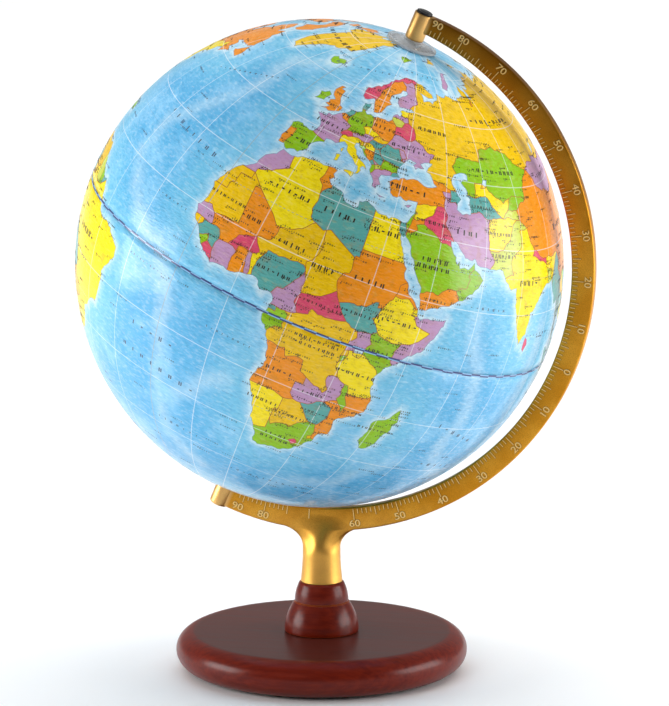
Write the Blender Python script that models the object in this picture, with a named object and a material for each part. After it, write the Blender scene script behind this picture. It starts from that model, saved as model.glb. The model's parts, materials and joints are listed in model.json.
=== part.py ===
"""Desktop globe on a stand.

A hollow ball turns on two short pins held by a cast, C-shaped meridian arm. The arm's stem stands
on a turned wooden collar and a round wooden base, and one threaded rod pulls the three together.
The origin is the middle of the base's underside, +Z is up, and the arm lies in the XZ plane.
"""

import math

import bmesh
import bpy
from mathutils import Matrix, Vector

MM = 0.001

# Driving dimensions, in metres
GAP = 0.3 * MM  # play between two pieces that meet
TILT = math.radians(22.5)  # lean of the polar axis from upright, towards +X

BALL_RADIUS = 152.5 * MM
SHELL_THICKNESS = 1.5 * MM
BALL_DROP = 3.5 * MM  # the ball sits this far down the axis from the arm's centre
BALL_SEGMENTS = 60

ARM_INNER_RADIUS = 159.3 * MM
ARM_OUTER_RADIUS = 173.8 * MM
ARM_THICKNESS = 8.0 * MM
ARM_EDGE = 0.8 * MM
NORTH_TAPER = 3.7 * MM  # the arm is this much narrower at its north end
SOUTH_TAPER = 1.4 * MM

BARREL_RADIUS = 6.0 * MM
BARREL_BOTTOM = 152.8 * MM  # along the axis from the arm's centre
BARREL_TOP = 170.5 * MM
BARREL_FLOOR = BARREL_BOTTOM + 7.7 * MM  # where the bore for the pin's head and the cap ends
BOSS_RADIUS = 6.0 * MM
BOSS_TOP = -158.6 * MM
BOSS_BOTTOM = -173.6 * MM
BOSS_HOLE_DEPTH = 10.2 * MM

BASE_RADIUS = 91.5 * MM
BASE_FLAT_RADIUS = 81.8 * MM
BASE_TOP = 25.0 * MM
FELT_THICKNESS = 1.2 * MM
FELT_RADIUS = 76.0 * MM
COLLAR_HEIGHT = 32.0 * MM
COLLAR_STEP = 19.2 * MM
ARM_CENTRE_HEIGHT = BASE_TOP + 239.0 * MM

STEM_RADIUS = 11.9 * MM
STEM_FOOT_RADIUS = 13.1 * MM
STEM_FOOT = BASE_TOP + COLLAR_HEIGHT + GAP - ARM_CENTRE_HEIGHT  # heights from the arm's centre
STEM_WAIST = -190.0 * MM

PIN_RADIUS = 2.0 * MM
PIN_HOLE_RADIUS = PIN_RADIUS + GAP
PIN_REACH = 141.0 * MM  # how near the ball's centre each pin ends
ROD_RADIUS = 4.0 * MM
ROD_HOLE_RADIUS = ROD_RADIUS + GAP
ROD_REACH = 20.0 * MM  # how far the rod runs up into the stem
GROMMET_RADIUS = 4.0 * MM
POLE_HOLE_RADIUS = GROMMET_RADIUS + GAP
RECESS_RADIUS = 14.0 * MM  # recess under the base for the washers and the nut
RECESS_TOP = 14.0 * MM
RECESS_BEVEL = 0.5 * MM

SMALL = 20  # segments round a small turned piece
MEDIUM = 36
LARGE = 48

# Colours are linear red, green and blue
MAHOGANY = (0.055, 0.007, 0.004)
BEECH = (0.54, 0.35, 0.15)
GOLD = (0.56, 0.30, 0.055)
STEEL = (0.55, 0.56, 0.57)


def clear_scene():
    for obj in list(bpy.data.objects):
        bpy.data.objects.remove(obj, do_unlink=True)


def material(name, colour, roughness, metallic=0.0, alpha=1.0):
    made = bpy.data.materials.new(name)
    made.use_nodes = True
    shader = made.node_tree.nodes["Principled BSDF"]
    shader.inputs["Base Color"].default_value = (*colour, 1.0)
    shader.inputs["Roughness"].default_value = roughness
    shader.inputs["Metallic"].default_value = metallic
    shader.inputs["Alpha"].default_value = alpha
    return made


def empty(name, location, lean=0.0):
    made = bpy.data.objects.new(name, None)
    made.location = location
    made.rotation_euler = (0.0, lean, 0.0)
    bpy.context.scene.collection.objects.link(made)
    return made


def mesh_object(name, bm, finish=None, parent=None):
    """Turns a bmesh into an object with outward faces, smooth on its round stretches."""
    bmesh.ops.recalc_face_normals(bm, faces=bm.faces)
    mesh = bpy.data.meshes.new(name)
    bm.to_mesh(mesh)
    bm.free()
    mesh.shade_smooth()
    mesh.set_sharp_from_angle(angle=math.radians(35))
    obj = bpy.data.objects.new(name, mesh)
    bpy.context.scene.collection.objects.link(obj)
    obj.parent = parent
    if finish:
        mesh.materials.append(finish)
    return obj


def turned(name, profile, segments, finish=None, parent=None):
    """Spins (radius, height) points about Z. A profile that starts off the axis is a closed ring."""
    bm = bmesh.new()
    verts = [bm.verts.new((radius, 0.0, height)) for radius, height in profile]
    edges = [bm.edges.new(pair) for pair in zip(verts, verts[1:])]
    if profile[0][0] > 0.0:
        edges.append(bm.edges.new((verts[-1], verts[0])))
    bmesh.ops.spin(
        bm, geom=verts + edges, cent=(0, 0, 0), axis=(0, 0, 1), angle=math.tau, steps=segments
    )
    bmesh.ops.remove_doubles(bm, verts=bm.verts, dist=0.001 * MM)
    return mesh_object(name, bm, finish, parent)


def swept(name, stations, finish=None, parent=None):
    """Joins a row of closed sections, each a list of points in the same order, and caps both ends."""
    bm = bmesh.new()
    rows = [[bm.verts.new(point) for point in section] for section in stations]
    count = len(rows[0])
    for near, far in zip(rows, rows[1:]):
        for k in range(count):
            after = (k + 1) % count
            bm.faces.new((near[k], near[after], far[after], far[k]))
    bm.faces.new(rows[0])
    bm.faces.new(rows[-1])
    return mesh_object(name, bm, finish, parent)


def rod(radius, bottom, top, chamfer=0.0):
    """Profile of a plain round bar, from the axis at its top to the axis at its bottom."""
    if not chamfer:
        return [(0.0, top), (radius, top), (radius, bottom), (0.0, bottom)]
    return [
        (0.0, top),
        (radius - chamfer, top),
        (radius, top - chamfer),
        (radius, bottom + chamfer),
        (radius - chamfer, bottom),
        (0.0, bottom),
    ]


def ring(inner, outer, bottom, top):
    """Profile of a plain washer or tube."""
    return [(inner, top), (outer, top), (outer, bottom), (inner, bottom)]


def arc(centre, radii, start, end, steps):
    """Points on an elliptical arc in the (radius, height) plane, angles in degrees from +radius."""
    angles = [math.radians(start + (end - start) * k / steps) for k in range(steps + 1)]
    return [
        (centre[0] + radii[0] * math.cos(a), centre[1] + radii[1] * math.sin(a)) for a in angles
    ]


def helper(obj):
    """Marks a cutter or a shape that only joins another, so that it isn't a piece of its own."""
    obj.hide_render = True
    obj.display_type = "WIRE"
    return obj


def combine(obj, other, operation):
    modifier = obj.modifiers.new(f"{operation.lower()}_{other.name}", "BOOLEAN")
    modifier.operation = operation
    modifier.solver = "EXACT"
    modifier.object = helper(other)


def cut_hole(obj, name, radius, bottom, top, centre=(0.0, 0.0), parent=None):
    """Cuts a round hole along Z, between two heights in the parent's frame."""
    cutter = turned(name, rod(radius, bottom, top), SMALL, parent=parent)
    cutter.location = (centre[0], centre[1], 0.0)
    combine(obj, cutter, "DIFFERENCE")


def foot_materials():
    return {
        "wood": material("stained_wood", MAHOGANY, 0.32),
        "raw_wood": material("plain_wood", BEECH, 0.7),
        "felt": material("felt", (0.02, 0.05, 0.03), 0.95),
        "steel": material("zinc_plated_steel", STEEL, 0.35, 1.0),
    }


def base_disc(wood):
    """Round base with a full-round edge that meets the flat top at a faint crease."""
    bottom = FELT_THICKNESS + GAP
    crease = 75.0
    height = (BASE_TOP - bottom) / (1.0 + math.sin(math.radians(crease)))
    depth = (BASE_RADIUS - BASE_FLAT_RADIUS) / (1.0 - math.cos(math.radians(crease)))
    edge = arc((BASE_RADIUS - depth, bottom + height), (depth, height), crease, -90.0, 9)
    profile = [
        (ROD_HOLE_RADIUS, BASE_TOP),
        *edge,
        (RECESS_RADIUS + RECESS_BEVEL, bottom),
        (RECESS_RADIUS, bottom + RECESS_BEVEL),
        (RECESS_RADIUS, RECESS_TOP),
        (ROD_HOLE_RADIUS, RECESS_TOP),
    ]
    return turned("base_disc", profile, LARGE, wood)


def felt_pad(felt):
    return turned("felt_pad", rod(FELT_RADIUS, 0.0, FELT_THICKNESS), LARGE, felt)


def collar(wood):
    """Turned collar in two swelling steps, widest at the base."""
    bottom = BASE_TOP + GAP
    top = BASE_TOP + COLLAR_HEIGHT
    step = BASE_TOP + COLLAR_STEP
    steps = 4
    upper_drop = top - step
    upper = [
        (16.9 * MM - 3.1 * MM * (1.0 - k / steps) ** 2, top - upper_drop * k / steps)
        for k in range(steps + 1)
    ]
    lower = [
        (17.3 * MM + 6.0 * MM * (1.0 - (1.0 - k / steps) ** 2), step - COLLAR_STEP * 0.93 * k / steps)
        for k in range(steps + 1)
    ]
    profile = [
        (ROD_HOLE_RADIUS, top),
        (13.4 * MM, top),
        (13.8 * MM, top - 0.3 * MM),
        *upper[1:],
        *lower,
        (23.1 * MM, bottom + 0.4 * MM),
        (22.6 * MM, bottom),
        (ROD_HOLE_RADIUS, bottom),
    ]
    return turned("collar", profile, MEDIUM, wood)


def tie_rod_and_nut(steel):
    """Threaded rod from the stem down into the base's recess, with its washers and nut."""
    rod_top = BASE_TOP + COLLAR_HEIGHT + ROD_REACH
    turned("tie_rod", rod(ROD_RADIUS, 2.2 * MM, rod_top, 0.7 * MM), SMALL, steel)
    washer_top = RECESS_TOP - GAP
    washer_bottom = washer_top - 1.6 * MM
    turned("base_washer", ring(ROD_HOLE_RADIUS, 12.0 * MM, washer_bottom, washer_top), SMALL, steel)
    spring_top = washer_bottom - GAP
    spring_bottom = spring_top - 1.8 * MM
    spring_washer(spring_bottom, spring_top, steel)
    hex_nut(spring_bottom - GAP - 6.4 * MM, spring_bottom - GAP, steel)


def spring_washer(bottom, top, steel):
    """Split lock washer: one turn of flat wire whose ends stand apart."""
    lift = 0.5 * MM
    inner = ROD_HOLE_RADIUS
    outer = 7.2 * MM
    slit = math.radians(9.0)
    stations = []
    for k in range(SMALL + 1):
        share = k / SMALL
        angle = slit + (math.tau - 2.0 * slit) * share
        low = bottom + lift * share
        high = top - lift * (1.0 - share)
        direction = Vector((math.cos(angle), math.sin(angle), 0.0))
        corners = ((inner, high), (outer, high), (outer, low), (inner, low))
        stations.append([direction * radius + Vector((0, 0, z)) for radius, z in corners])
    return swept("lock_washer", stations, steel)


def hex_nut(bottom, top, steel):
    across_corners = 15.0 * MM
    corners = [math.radians(60.0 * k) for k in range(6)]
    radius = across_corners / 2.0
    ends = [
        [(radius * math.cos(a), radius * math.sin(a), z) for a in corners] for z in (bottom, top)
    ]
    nut = swept("base_nut", ends, steel)
    cut_hole(nut, "nut_thread", ROD_HOLE_RADIUS, bottom - MM, top + MM)


def locating_pins(base, collar_piece, arm, wood, steel):
    """A dowel keys the collar to the base, and a steel pin keys the arm's stem to the collar."""
    joint = BASE_TOP + GAP / 2.0
    place = (-17.5 * MM, 0.0)
    dowel = turned("collar_dowel", rod(3.0 * MM, joint - 8 * MM, joint + 8 * MM, 0.5 * MM), SMALL, wood)
    dowel.location = (*place, 0.0)
    for piece in (base, collar_piece):
        cut_hole(piece, f"dowel_hole_{piece.name}", 3.3 * MM, joint - 8.4 * MM, joint + 8.4 * MM, place)
    joint = BASE_TOP + COLLAR_HEIGHT + GAP / 2.0
    place = (8.6 * MM, 0.0)
    key = turned("stem_key_pin", rod(1.5 * MM, joint - 6 * MM, joint + 6 * MM, 0.3 * MM), SMALL, steel)
    key.location = (*place, 0.0)
    for piece in (collar_piece, arm):
        cut_hole(piece, f"key_hole_{piece.name}", 1.8 * MM, joint - 6.4 * MM, joint + 6.4 * MM, place)


def arm_outer_radius(latitude):
    """The arm's outer edge, which draws in towards both ends."""
    if latitude > 55.0:
        return ARM_OUTER_RADIUS - NORTH_TAPER * ((latitude - 55.0) / 35.0) ** 2
    if latitude < -60.0:
        return ARM_OUTER_RADIUS - SOUTH_TAPER * ((-latitude - 60.0) / 30.0) ** 2
    return ARM_OUTER_RADIUS


def arm_plate(finish, axis):
    """Flat bar bent through half a turn, with its edges broken."""
    half = ARM_THICKNESS / 2.0
    steps = 44
    stations = []
    for k in range(steps + 1):
        latitude = -89.0 + 178.0 * k / steps
        direction = Vector((math.cos(math.radians(latitude)), 0.0, math.sin(math.radians(latitude))))
        inner = ARM_INNER_RADIUS
        outer = arm_outer_radius(latitude)
        section = (
            (inner, -half + ARM_EDGE),
            (inner + ARM_EDGE, -half),
            (outer - ARM_EDGE, -half),
            (outer, -half + ARM_EDGE),
            (outer, half - ARM_EDGE),
            (outer - ARM_EDGE, half),
            (inner + ARM_EDGE, half),
            (inner, half - ARM_EDGE),
        )
        stations.append([direction * radius + Vector((0, y, 0)) for radius, y in section])
    return swept("meridian_arm", stations, finish, axis)


def stem_section(height):
    """Half width and half depth of the stem, at a height measured from the arm's centre."""
    fillet_bottom = -185.0 * MM
    fillet_top = -171.0 * MM
    fillet_width = 18.8 * MM
    blend_bottom = -188.0 * MM
    blend_top = -161.0 * MM
    sunk_depth = ARM_THICKNESS / 2.0 - GAP
    if height <= STEM_WAIST:
        drop = (STEM_WAIST - height) / (STEM_WAIST - STEM_FOOT)
        radius = STEM_RADIUS + (STEM_FOOT_RADIUS - STEM_RADIUS) * drop**1.5
        return radius, radius
    climb = min(max((height - fillet_bottom) / (fillet_top - fillet_bottom), 0.0), 1.0)
    width = STEM_RADIUS + fillet_width * (1.0 - math.sqrt(1.0 - climb**2))
    blend = min(max((height - blend_bottom) / (blend_top - blend_bottom), 0.0), 1.0)
    depth = sunk_depth + (STEM_RADIUS - sunk_depth) * (1.0 + math.cos(math.pi * blend)) / 2.0
    return width, depth


def arm_stem(root):
    """Round stem that spreads and flattens into the underside of the arm."""
    straight = [STEM_FOOT + (STEM_WAIST - STEM_FOOT) * k / 4 for k in range(4)]
    curved = [STEM_WAIST + 19.0 * MM * math.sin(math.radians(10.0 * k)) for k in range(10)]
    sunk = [-168.0 * MM, -165.0 * MM, -162.0 * MM]
    stations = []
    for height in straight + curved + sunk:
        width, depth = stem_section(height)
        angles = [math.tau * k / SMALL for k in range(SMALL)]
        stations.append([(width * math.cos(a), depth * math.sin(a), height) for a in angles])
    return swept("stem_blank", stations, parent=root)


def meridian_arm(finish, axis, root):
    """The casting: arm, stem, the barrel over the north pole and the boss under the south pole."""
    arm = arm_plate(finish, axis)
    barrel = [
        (0.0, BARREL_TOP),
        (BARREL_RADIUS - 0.4 * MM, BARREL_TOP),
        (BARREL_RADIUS, BARREL_TOP - 0.4 * MM),
        (BARREL_RADIUS, BARREL_BOTTOM + 0.8 * MM),
        (BARREL_RADIUS - 0.8 * MM, BARREL_BOTTOM),
        (0.0, BARREL_BOTTOM),
    ]
    boss_round = 1.6 * MM
    boss = [
        (0.0, BOSS_TOP),
        (BOSS_RADIUS - 0.4 * MM, BOSS_TOP),
        (BOSS_RADIUS, BOSS_TOP - 0.4 * MM),
        *arc((BOSS_RADIUS - boss_round, BOSS_BOTTOM + boss_round), (boss_round, boss_round), 0.0, -90.0, 4),
        (0.0, BOSS_BOTTOM),
    ]
    combine(arm, arm_stem(root), "UNION")
    combine(arm, turned("barrel_blank", barrel, SMALL, parent=axis), "UNION")
    combine(arm, turned("boss_blank", boss, SMALL, parent=axis), "UNION")
    cut_hole(arm, "barrel_bore", 4.0 * MM, BARREL_FLOOR, BARREL_TOP + MM, parent=axis)
    cut_hole(arm, "barrel_hole", PIN_HOLE_RADIUS, BARREL_BOTTOM - MM, BARREL_FLOOR + MM, parent=axis)
    cut_hole(arm, "boss_hole", PIN_HOLE_RADIUS, BOSS_TOP - BOSS_HOLE_DEPTH, BOSS_TOP + MM, parent=axis)
    foot = BASE_TOP + COLLAR_HEIGHT
    cut_hole(arm, "rod_hole", ROD_HOLE_RADIUS, foot - MM, foot + ROD_REACH + MM)
    return arm


def north_pivot(steel, plastic, axis):
    """Headed pin dropped in from the barrel's top, and the black plug that hides it."""
    floor = BARREL_FLOOR + BALL_DROP
    top = BARREL_TOP + BALL_DROP
    point = 1.0 * MM
    pin = [
        (0.0, floor + 3.0 * MM),
        (3.2 * MM, floor + 3.0 * MM),
        (3.6 * MM, floor + 2.6 * MM),
        (3.6 * MM, floor + GAP),
        (PIN_RADIUS, floor + GAP),
        (PIN_RADIUS, PIN_REACH + point),
        (PIN_RADIUS - point, PIN_REACH),
        (0.0, PIN_REACH),
    ]
    turned("north_pivot_pin", pin, SMALL, steel, axis)
    dome = [(4.6 * MM, top + GAP + 1.1 * MM), (5.1 * MM, top + GAP + 0.6 * MM)]
    cap = [
        (0.0, top + GAP + 1.4 * MM),
        (2.6 * MM, top + GAP + 1.3 * MM),
        *dome,
        (5.1 * MM, top + GAP),
        (3.7 * MM, top + GAP),
        (3.7 * MM, top - 4.6 * MM),
        (3.3 * MM, top - 5.0 * MM),
        (0.0, top - 5.0 * MM),
    ]
    turned("pivot_cap", cap, SMALL, plastic, axis)


def south_pivot(steel, nylon, axis):
    """Pin pressed into the boss, and the washer that carries the ball's weight."""
    top = BOSS_TOP + BALL_DROP
    bottom = top - BOSS_HOLE_DEPTH + GAP
    point = 1.0 * MM
    pin = [
        (0.0, -PIN_REACH),
        (PIN_RADIUS - point, -PIN_REACH),
        (PIN_RADIUS, -PIN_REACH - point),
        (PIN_RADIUS, bottom),
        (0.0, bottom),
    ]
    turned("south_pivot_pin", pin, SMALL, steel, axis)
    washer = ring(PIN_HOLE_RADIUS, 5.2 * MM, top + GAP, top + GAP + 1.0 * MM)
    turned("south_thrust_washer", washer, SMALL, nylon, axis)


def grommet(name, side, plastic, axis):
    """Flanged bush in a pole hole, written for the north pole and turned over for the south."""
    flange_bottom = BALL_RADIUS + GAP
    profile = [
        (PIN_HOLE_RADIUS, flange_bottom + 0.7 * MM),
        (5.6 * MM, flange_bottom + 0.7 * MM),
        (6.0 * MM, flange_bottom + 0.4 * MM),
        (6.0 * MM, flange_bottom),
        (GROMMET_RADIUS, flange_bottom),
        (GROMMET_RADIUS, BALL_RADIUS - 7.0 * MM),
        (PIN_HOLE_RADIUS, BALL_RADIUS - 7.0 * MM),
    ]
    piece = turned(name, profile, SMALL, plastic, axis)
    if side < 0:
        piece.rotation_euler = (math.pi, 0.0, 0.0)


def backing_washer(name, side, card, axis):
    """Stiff washer round the grommet inside the shell."""
    top = BALL_RADIUS - SHELL_THICKNESS - 1.2 * MM
    piece = turned(name, ring(POLE_HOLE_RADIUS, 9.0 * MM, top - 1.2 * MM, top), SMALL, card, axis)
    if side < 0:
        piece.rotation_euler = (math.pi, 0.0, 0.0)


def hemisphere(name, side, finish, axis):
    """Half of the ball's shell, from the seam to the pole hole."""
    seam = GAP / 2.0
    inner_radius = BALL_RADIUS - SHELL_THICKNESS
    top_outer = math.degrees(math.acos(POLE_HOLE_RADIUS / BALL_RADIUS))
    top_inner = math.degrees(math.acos(POLE_HOLE_RADIUS / inner_radius))
    seam_outer = math.degrees(math.asin(seam / BALL_RADIUS))
    seam_inner = math.degrees(math.asin(seam / inner_radius))
    outer = arc((0.0, 0.0), (BALL_RADIUS, BALL_RADIUS), top_outer, seam_outer, 12)
    inner = arc((0.0, 0.0), (inner_radius, inner_radius), seam_inner, top_inner, 8)
    profile = [(radius, side * height) for radius, height in outer + inner]
    turned(name, profile, BALL_SEGMENTS, finish, axis)


def ball_seam(card, tape, axis):
    """Card hoop that joins the halves from within, and the printed tape over the seam."""
    hoop_outer = BALL_RADIUS - SHELL_THICKNESS - 1.25 * MM
    hoop = ring(hoop_outer - 1.2 * MM, hoop_outer, -9.0 * MM, 9.0 * MM)
    turned("equator_hoop", hoop, BALL_SEGMENTS, card, axis)
    tape_inner = BALL_RADIUS + 0.2 * MM
    band = ring(tape_inner, tape_inner + 0.3 * MM, -1.6 * MM, 1.6 * MM)
    turned("equator_tape", band, BALL_SEGMENTS, tape, axis)


def time_dial(clear, nylon, axis):
    """Clear dial that turns on the north pin over the ball, and the washer above it."""
    hub_bottom = BALL_RADIUS + 1.3 * MM
    profile = [
        (2.6 * MM, hub_bottom + 1.4 * MM),
        (6.4 * MM, hub_bottom + 1.4 * MM),
        (7.2 * MM, hub_bottom + 0.4 * MM),
        (14.6 * MM, hub_bottom - 0.3 * MM),
        (15.0 * MM, hub_bottom + 0.2 * MM),
        (15.8 * MM, hub_bottom + 0.2 * MM),
        (16.2 * MM, hub_bottom - 0.3 * MM),
        (16.2 * MM, hub_bottom - 1.4 * MM),
        (15.8 * MM, hub_bottom - 1.7 * MM),
        (7.0 * MM, hub_bottom - 0.9 * MM),
        (6.4 * MM, hub_bottom),
        (2.6 * MM, hub_bottom),
    ]
    turned("time_dial", profile, MEDIUM, clear, axis)
    washer_bottom = hub_bottom + 1.4 * MM + GAP
    washer = ring(2.6 * MM, 5.2 * MM, washer_bottom, washer_bottom + 0.5 * MM)
    turned("dial_washer", washer, SMALL, nylon, axis)


def build():
    clear_scene()
    centre = Vector((0.0, 0.0, ARM_CENTRE_HEIGHT))
    polar = Matrix.Rotation(TILT, 3, "Y") @ Vector((0.0, 0.0, 1.0))
    arm_root = empty("arm_root", centre)
    arm_axis = empty("arm_axis", centre, TILT)
    ball_axis = empty("ball_axis", centre - polar * BALL_DROP, TILT)

    foot = foot_materials()
    base = base_disc(foot["wood"])
    felt_pad(foot["felt"])
    collar_piece = collar(foot["wood"])
    tie_rod_and_nut(foot["steel"])

    arm = meridian_arm(material("gold_lacquer", GOLD, 0.38, 1.0), arm_axis, arm_root)
    locating_pins(base, collar_piece, arm, foot["raw_wood"], foot["steel"])

    nylon = material("nylon", (0.75, 0.74, 0.70), 0.45)
    north_pivot(foot["steel"], material("black_plastic", (0.01, 0.01, 0.01), 0.4), ball_axis)
    south_pivot(foot["steel"], nylon, ball_axis)

    printed = material("printed_map", (0.10, 0.42, 0.72), 0.2)
    card = material("grey_card", (0.30, 0.28, 0.25), 0.85)
    white_plastic = material("white_plastic", (0.7, 0.7, 0.68), 0.4)
    for pole, side in (("north", 1), ("south", -1)):
        hemisphere(f"{pole}ern_hemisphere", side, printed, ball_axis)
        grommet(f"{pole}_grommet", side, white_plastic, ball_axis)
        backing_washer(f"{pole}_backing_washer", side, card, ball_axis)
    ball_seam(card, material("seam_tape", (0.02, 0.05, 0.35), 0.4), ball_axis)
    time_dial(material("clear_plastic", (0.8, 0.82, 0.83), 0.1, alpha=0.4), nylon, ball_axis)


build()
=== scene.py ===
"""The looks of the desktop globe: printed ball, cast arm with raised scale, dial and turned wooden foot."""

import json
import math
import random

import bmesh
import bpy
from mathutils import Matrix, Vector, geometry, kdtree


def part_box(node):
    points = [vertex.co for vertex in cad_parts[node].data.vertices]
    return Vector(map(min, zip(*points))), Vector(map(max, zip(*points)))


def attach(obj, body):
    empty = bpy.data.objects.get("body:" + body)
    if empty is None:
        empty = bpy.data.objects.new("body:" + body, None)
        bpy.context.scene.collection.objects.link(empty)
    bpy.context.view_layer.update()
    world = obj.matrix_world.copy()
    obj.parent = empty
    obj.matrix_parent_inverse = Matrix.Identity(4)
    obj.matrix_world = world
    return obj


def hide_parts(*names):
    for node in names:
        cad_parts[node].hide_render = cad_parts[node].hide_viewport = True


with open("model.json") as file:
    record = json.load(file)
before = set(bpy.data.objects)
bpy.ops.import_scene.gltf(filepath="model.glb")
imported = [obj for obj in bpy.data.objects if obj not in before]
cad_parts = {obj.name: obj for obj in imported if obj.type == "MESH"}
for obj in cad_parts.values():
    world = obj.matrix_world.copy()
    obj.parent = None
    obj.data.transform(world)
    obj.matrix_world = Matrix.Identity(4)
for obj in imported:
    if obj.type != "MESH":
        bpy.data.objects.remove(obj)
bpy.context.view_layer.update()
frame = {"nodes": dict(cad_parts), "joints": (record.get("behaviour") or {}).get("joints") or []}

MM = 0.001

# The frame gives the polar axis, the ball and the foot
SPIN = next(joint for joint in frame["joints"] if joint["name"] == "globe_spin")
POLE = Vector(SPIN["axis"])
BALL_CENTRE = Vector(SPIN["pos_m"])
TILT = math.atan2(POLE.x, POLE.z)
NORTH_LOW, NORTH_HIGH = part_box("northern_hemisphere")
BALL_RADIUS = (NORTH_HIGH.y - NORTH_LOW.y) / 2.0
BALL_DROP = 3.5 * MM
ARM_CENTRE = BALL_CENTRE + POLE * BALL_DROP
BASE_LOW, BASE_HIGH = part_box("base_disc")
COLLAR_LOW, COLLAR_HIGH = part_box("collar")

TO_BALL = Matrix.Translation(BALL_CENTRE) @ Matrix.Rotation(TILT, 4, "Y")
TO_ARM = Matrix.Translation(ARM_CENTRE) @ Matrix.Rotation(TILT, 4, "Y")

# The casting, about the arm's centre
ARM_INNER = 159.3 * MM
ARM_OUTER = 173.8 * MM
ARM_HALF = 4.0 * MM
ARM_EDGE = 0.9 * MM  # rounding along the plate
ARM_END = 89.0  # degrees from the middle to each end
ARM_STEPS = 178
NORTH_TAPER, NORTH_TAPER_FROM = 3.7 * MM, 55.0
SOUTH_TAPER, SOUTH_TAPER_FROM = 1.4 * MM, 60.0
BARREL_RADIUS = 6.0 * MM
BARREL_BOTTOM = 152.8 * MM
BARREL_TOP = 170.5 * MM
BOSS_TOP = -158.6 * MM
BOSS_BOTTOM = -173.6 * MM
CAP_BORE_RADIUS = 4.0 * MM
PIN_BORE_RADIUS = 2.3 * MM
STEM_RADIUS = 11.9 * MM
STEM_FOOT_RADIUS = 13.1 * MM
STEM_WAIST = -190.0 * MM
STEM_FOOT = COLLAR_HIGH.z + 0.3 * MM - ARM_CENTRE.z
CAP_BORE_FLOOR = BARREL_BOTTOM + 7.7 * MM
PIN_BORE_FLOOR = BOSS_TOP - 10.2 * MM

# How the stem spreads and flattens into the arm, measured up from its waist
SPREAD_START, SPREAD_HEIGHT = 5.0 * MM, 14.0 * MM
SPREAD_WIDTH = 18.8 * MM
SPREAD_TOP = 19.0 * MM
THINNING_START, THINNING_HEIGHT = 2.0 * MM, 27.0 * MM
WEB_HEIGHT = 13.0 * MM
WEB_SUNK = 0.15 * MM  # below the arm's faces
WEB_RIM = 2.5 * MM
SWELL_WIDTH = 21.0 * MM

# The degree scale on the casting
TICK_START = 0.8 * MM
TICK_LENGTHS = ((10, 7.2 * MM), (5, 5.4 * MM), (1, 3.4 * MM))  # for every so many degrees
FIGURE_SIZE = 6.0 * MM
FIGURE_START = 6.2 * MM  # from the inner edge to the band that the figures stand in
FIGURE_WIDENING = 1.22
HIDDEN_FIGURE = -70
END_FIGURES = {90: 86.3, -90: -85.8}  # moved in from the plate's ends

# The foot and the dial
CREASE_RADIUS = 81.8 * MM  # where the base's flat top ends
CREASE_ANGLE = 75.0
ROD_HOLE = 4.3 * MM
RECESS_RADIUS = 14.0 * MM
RECESS_TOP = 14.0 * MM
DIAL_HEIGHT = BALL_RADIUS + 1.3 * MM
DIAL_SLOPE = 0.03

FLOOR_HALF = 6.0

# The map, in degrees
FACING = 10.1  # the longitude that faces the front
POLE_HOLE = 88.4  # latitude where the ball's pole holes begin
SEAM_LONGITUDE = -169.0  # where the flat map is cut, in open sea
ROW_GAP = 2.0
SCATTER = 0.8
GRID_STEP = 15.0
TROPIC = 23.44
DARK_MERIDIAN = -15.0
EQUATOR_DASH = 3.0
SHELF_WIDTH = 1.7
DEEP_FROM, DEEP_FULL = 4.0, 13.0
RIDGE_WIDTH = 3.0

# How far a long stretch is pushed aside, as a share of its length
COAST_ROUGHNESS = 0.16
ICE_ROUGHNESS = 0.12
BORDER_ROUGHNESS = 0.11

SHELL_THICKNESS = 1.5 * MM
TOWNS = 900
SEA_NOTES = 260
SMALL_PRINT = 0.5

COLOURS = {
    "yellow": (0.95, 0.76, 0.003),
    "golden": (0.88, 0.56, 0.002),
    "orange": (0.88, 0.29, 0.008),
    "teal": (0.10, 0.40, 0.38),
    "green": (0.27, 0.55, 0.008),
    "pink": (0.72, 0.07, 0.16),
    "mauve": (0.52, 0.30, 0.52),
    "pale_green": (0.60, 0.68, 0.08),
    "ice": (0.80, 0.86, 0.90),
}
SPARE_COLOURS = ("golden", "green", "orange", "yellow", "teal", "mauve")  # for lands with no seed
SHALLOW = (0.66, 0.85, 0.94)
MIDDLE = (0.17, 0.54, 0.79)
DEEP = (0.075, 0.39, 0.72)
INK = (0.010, 0.008, 0.006)
SEA_INK = (0.05, 0.10, 0.20)
COAST_INK = (0.16, 0.34, 0.50)
BORDER_INK = (0.42, 0.12, 0.012)

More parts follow.
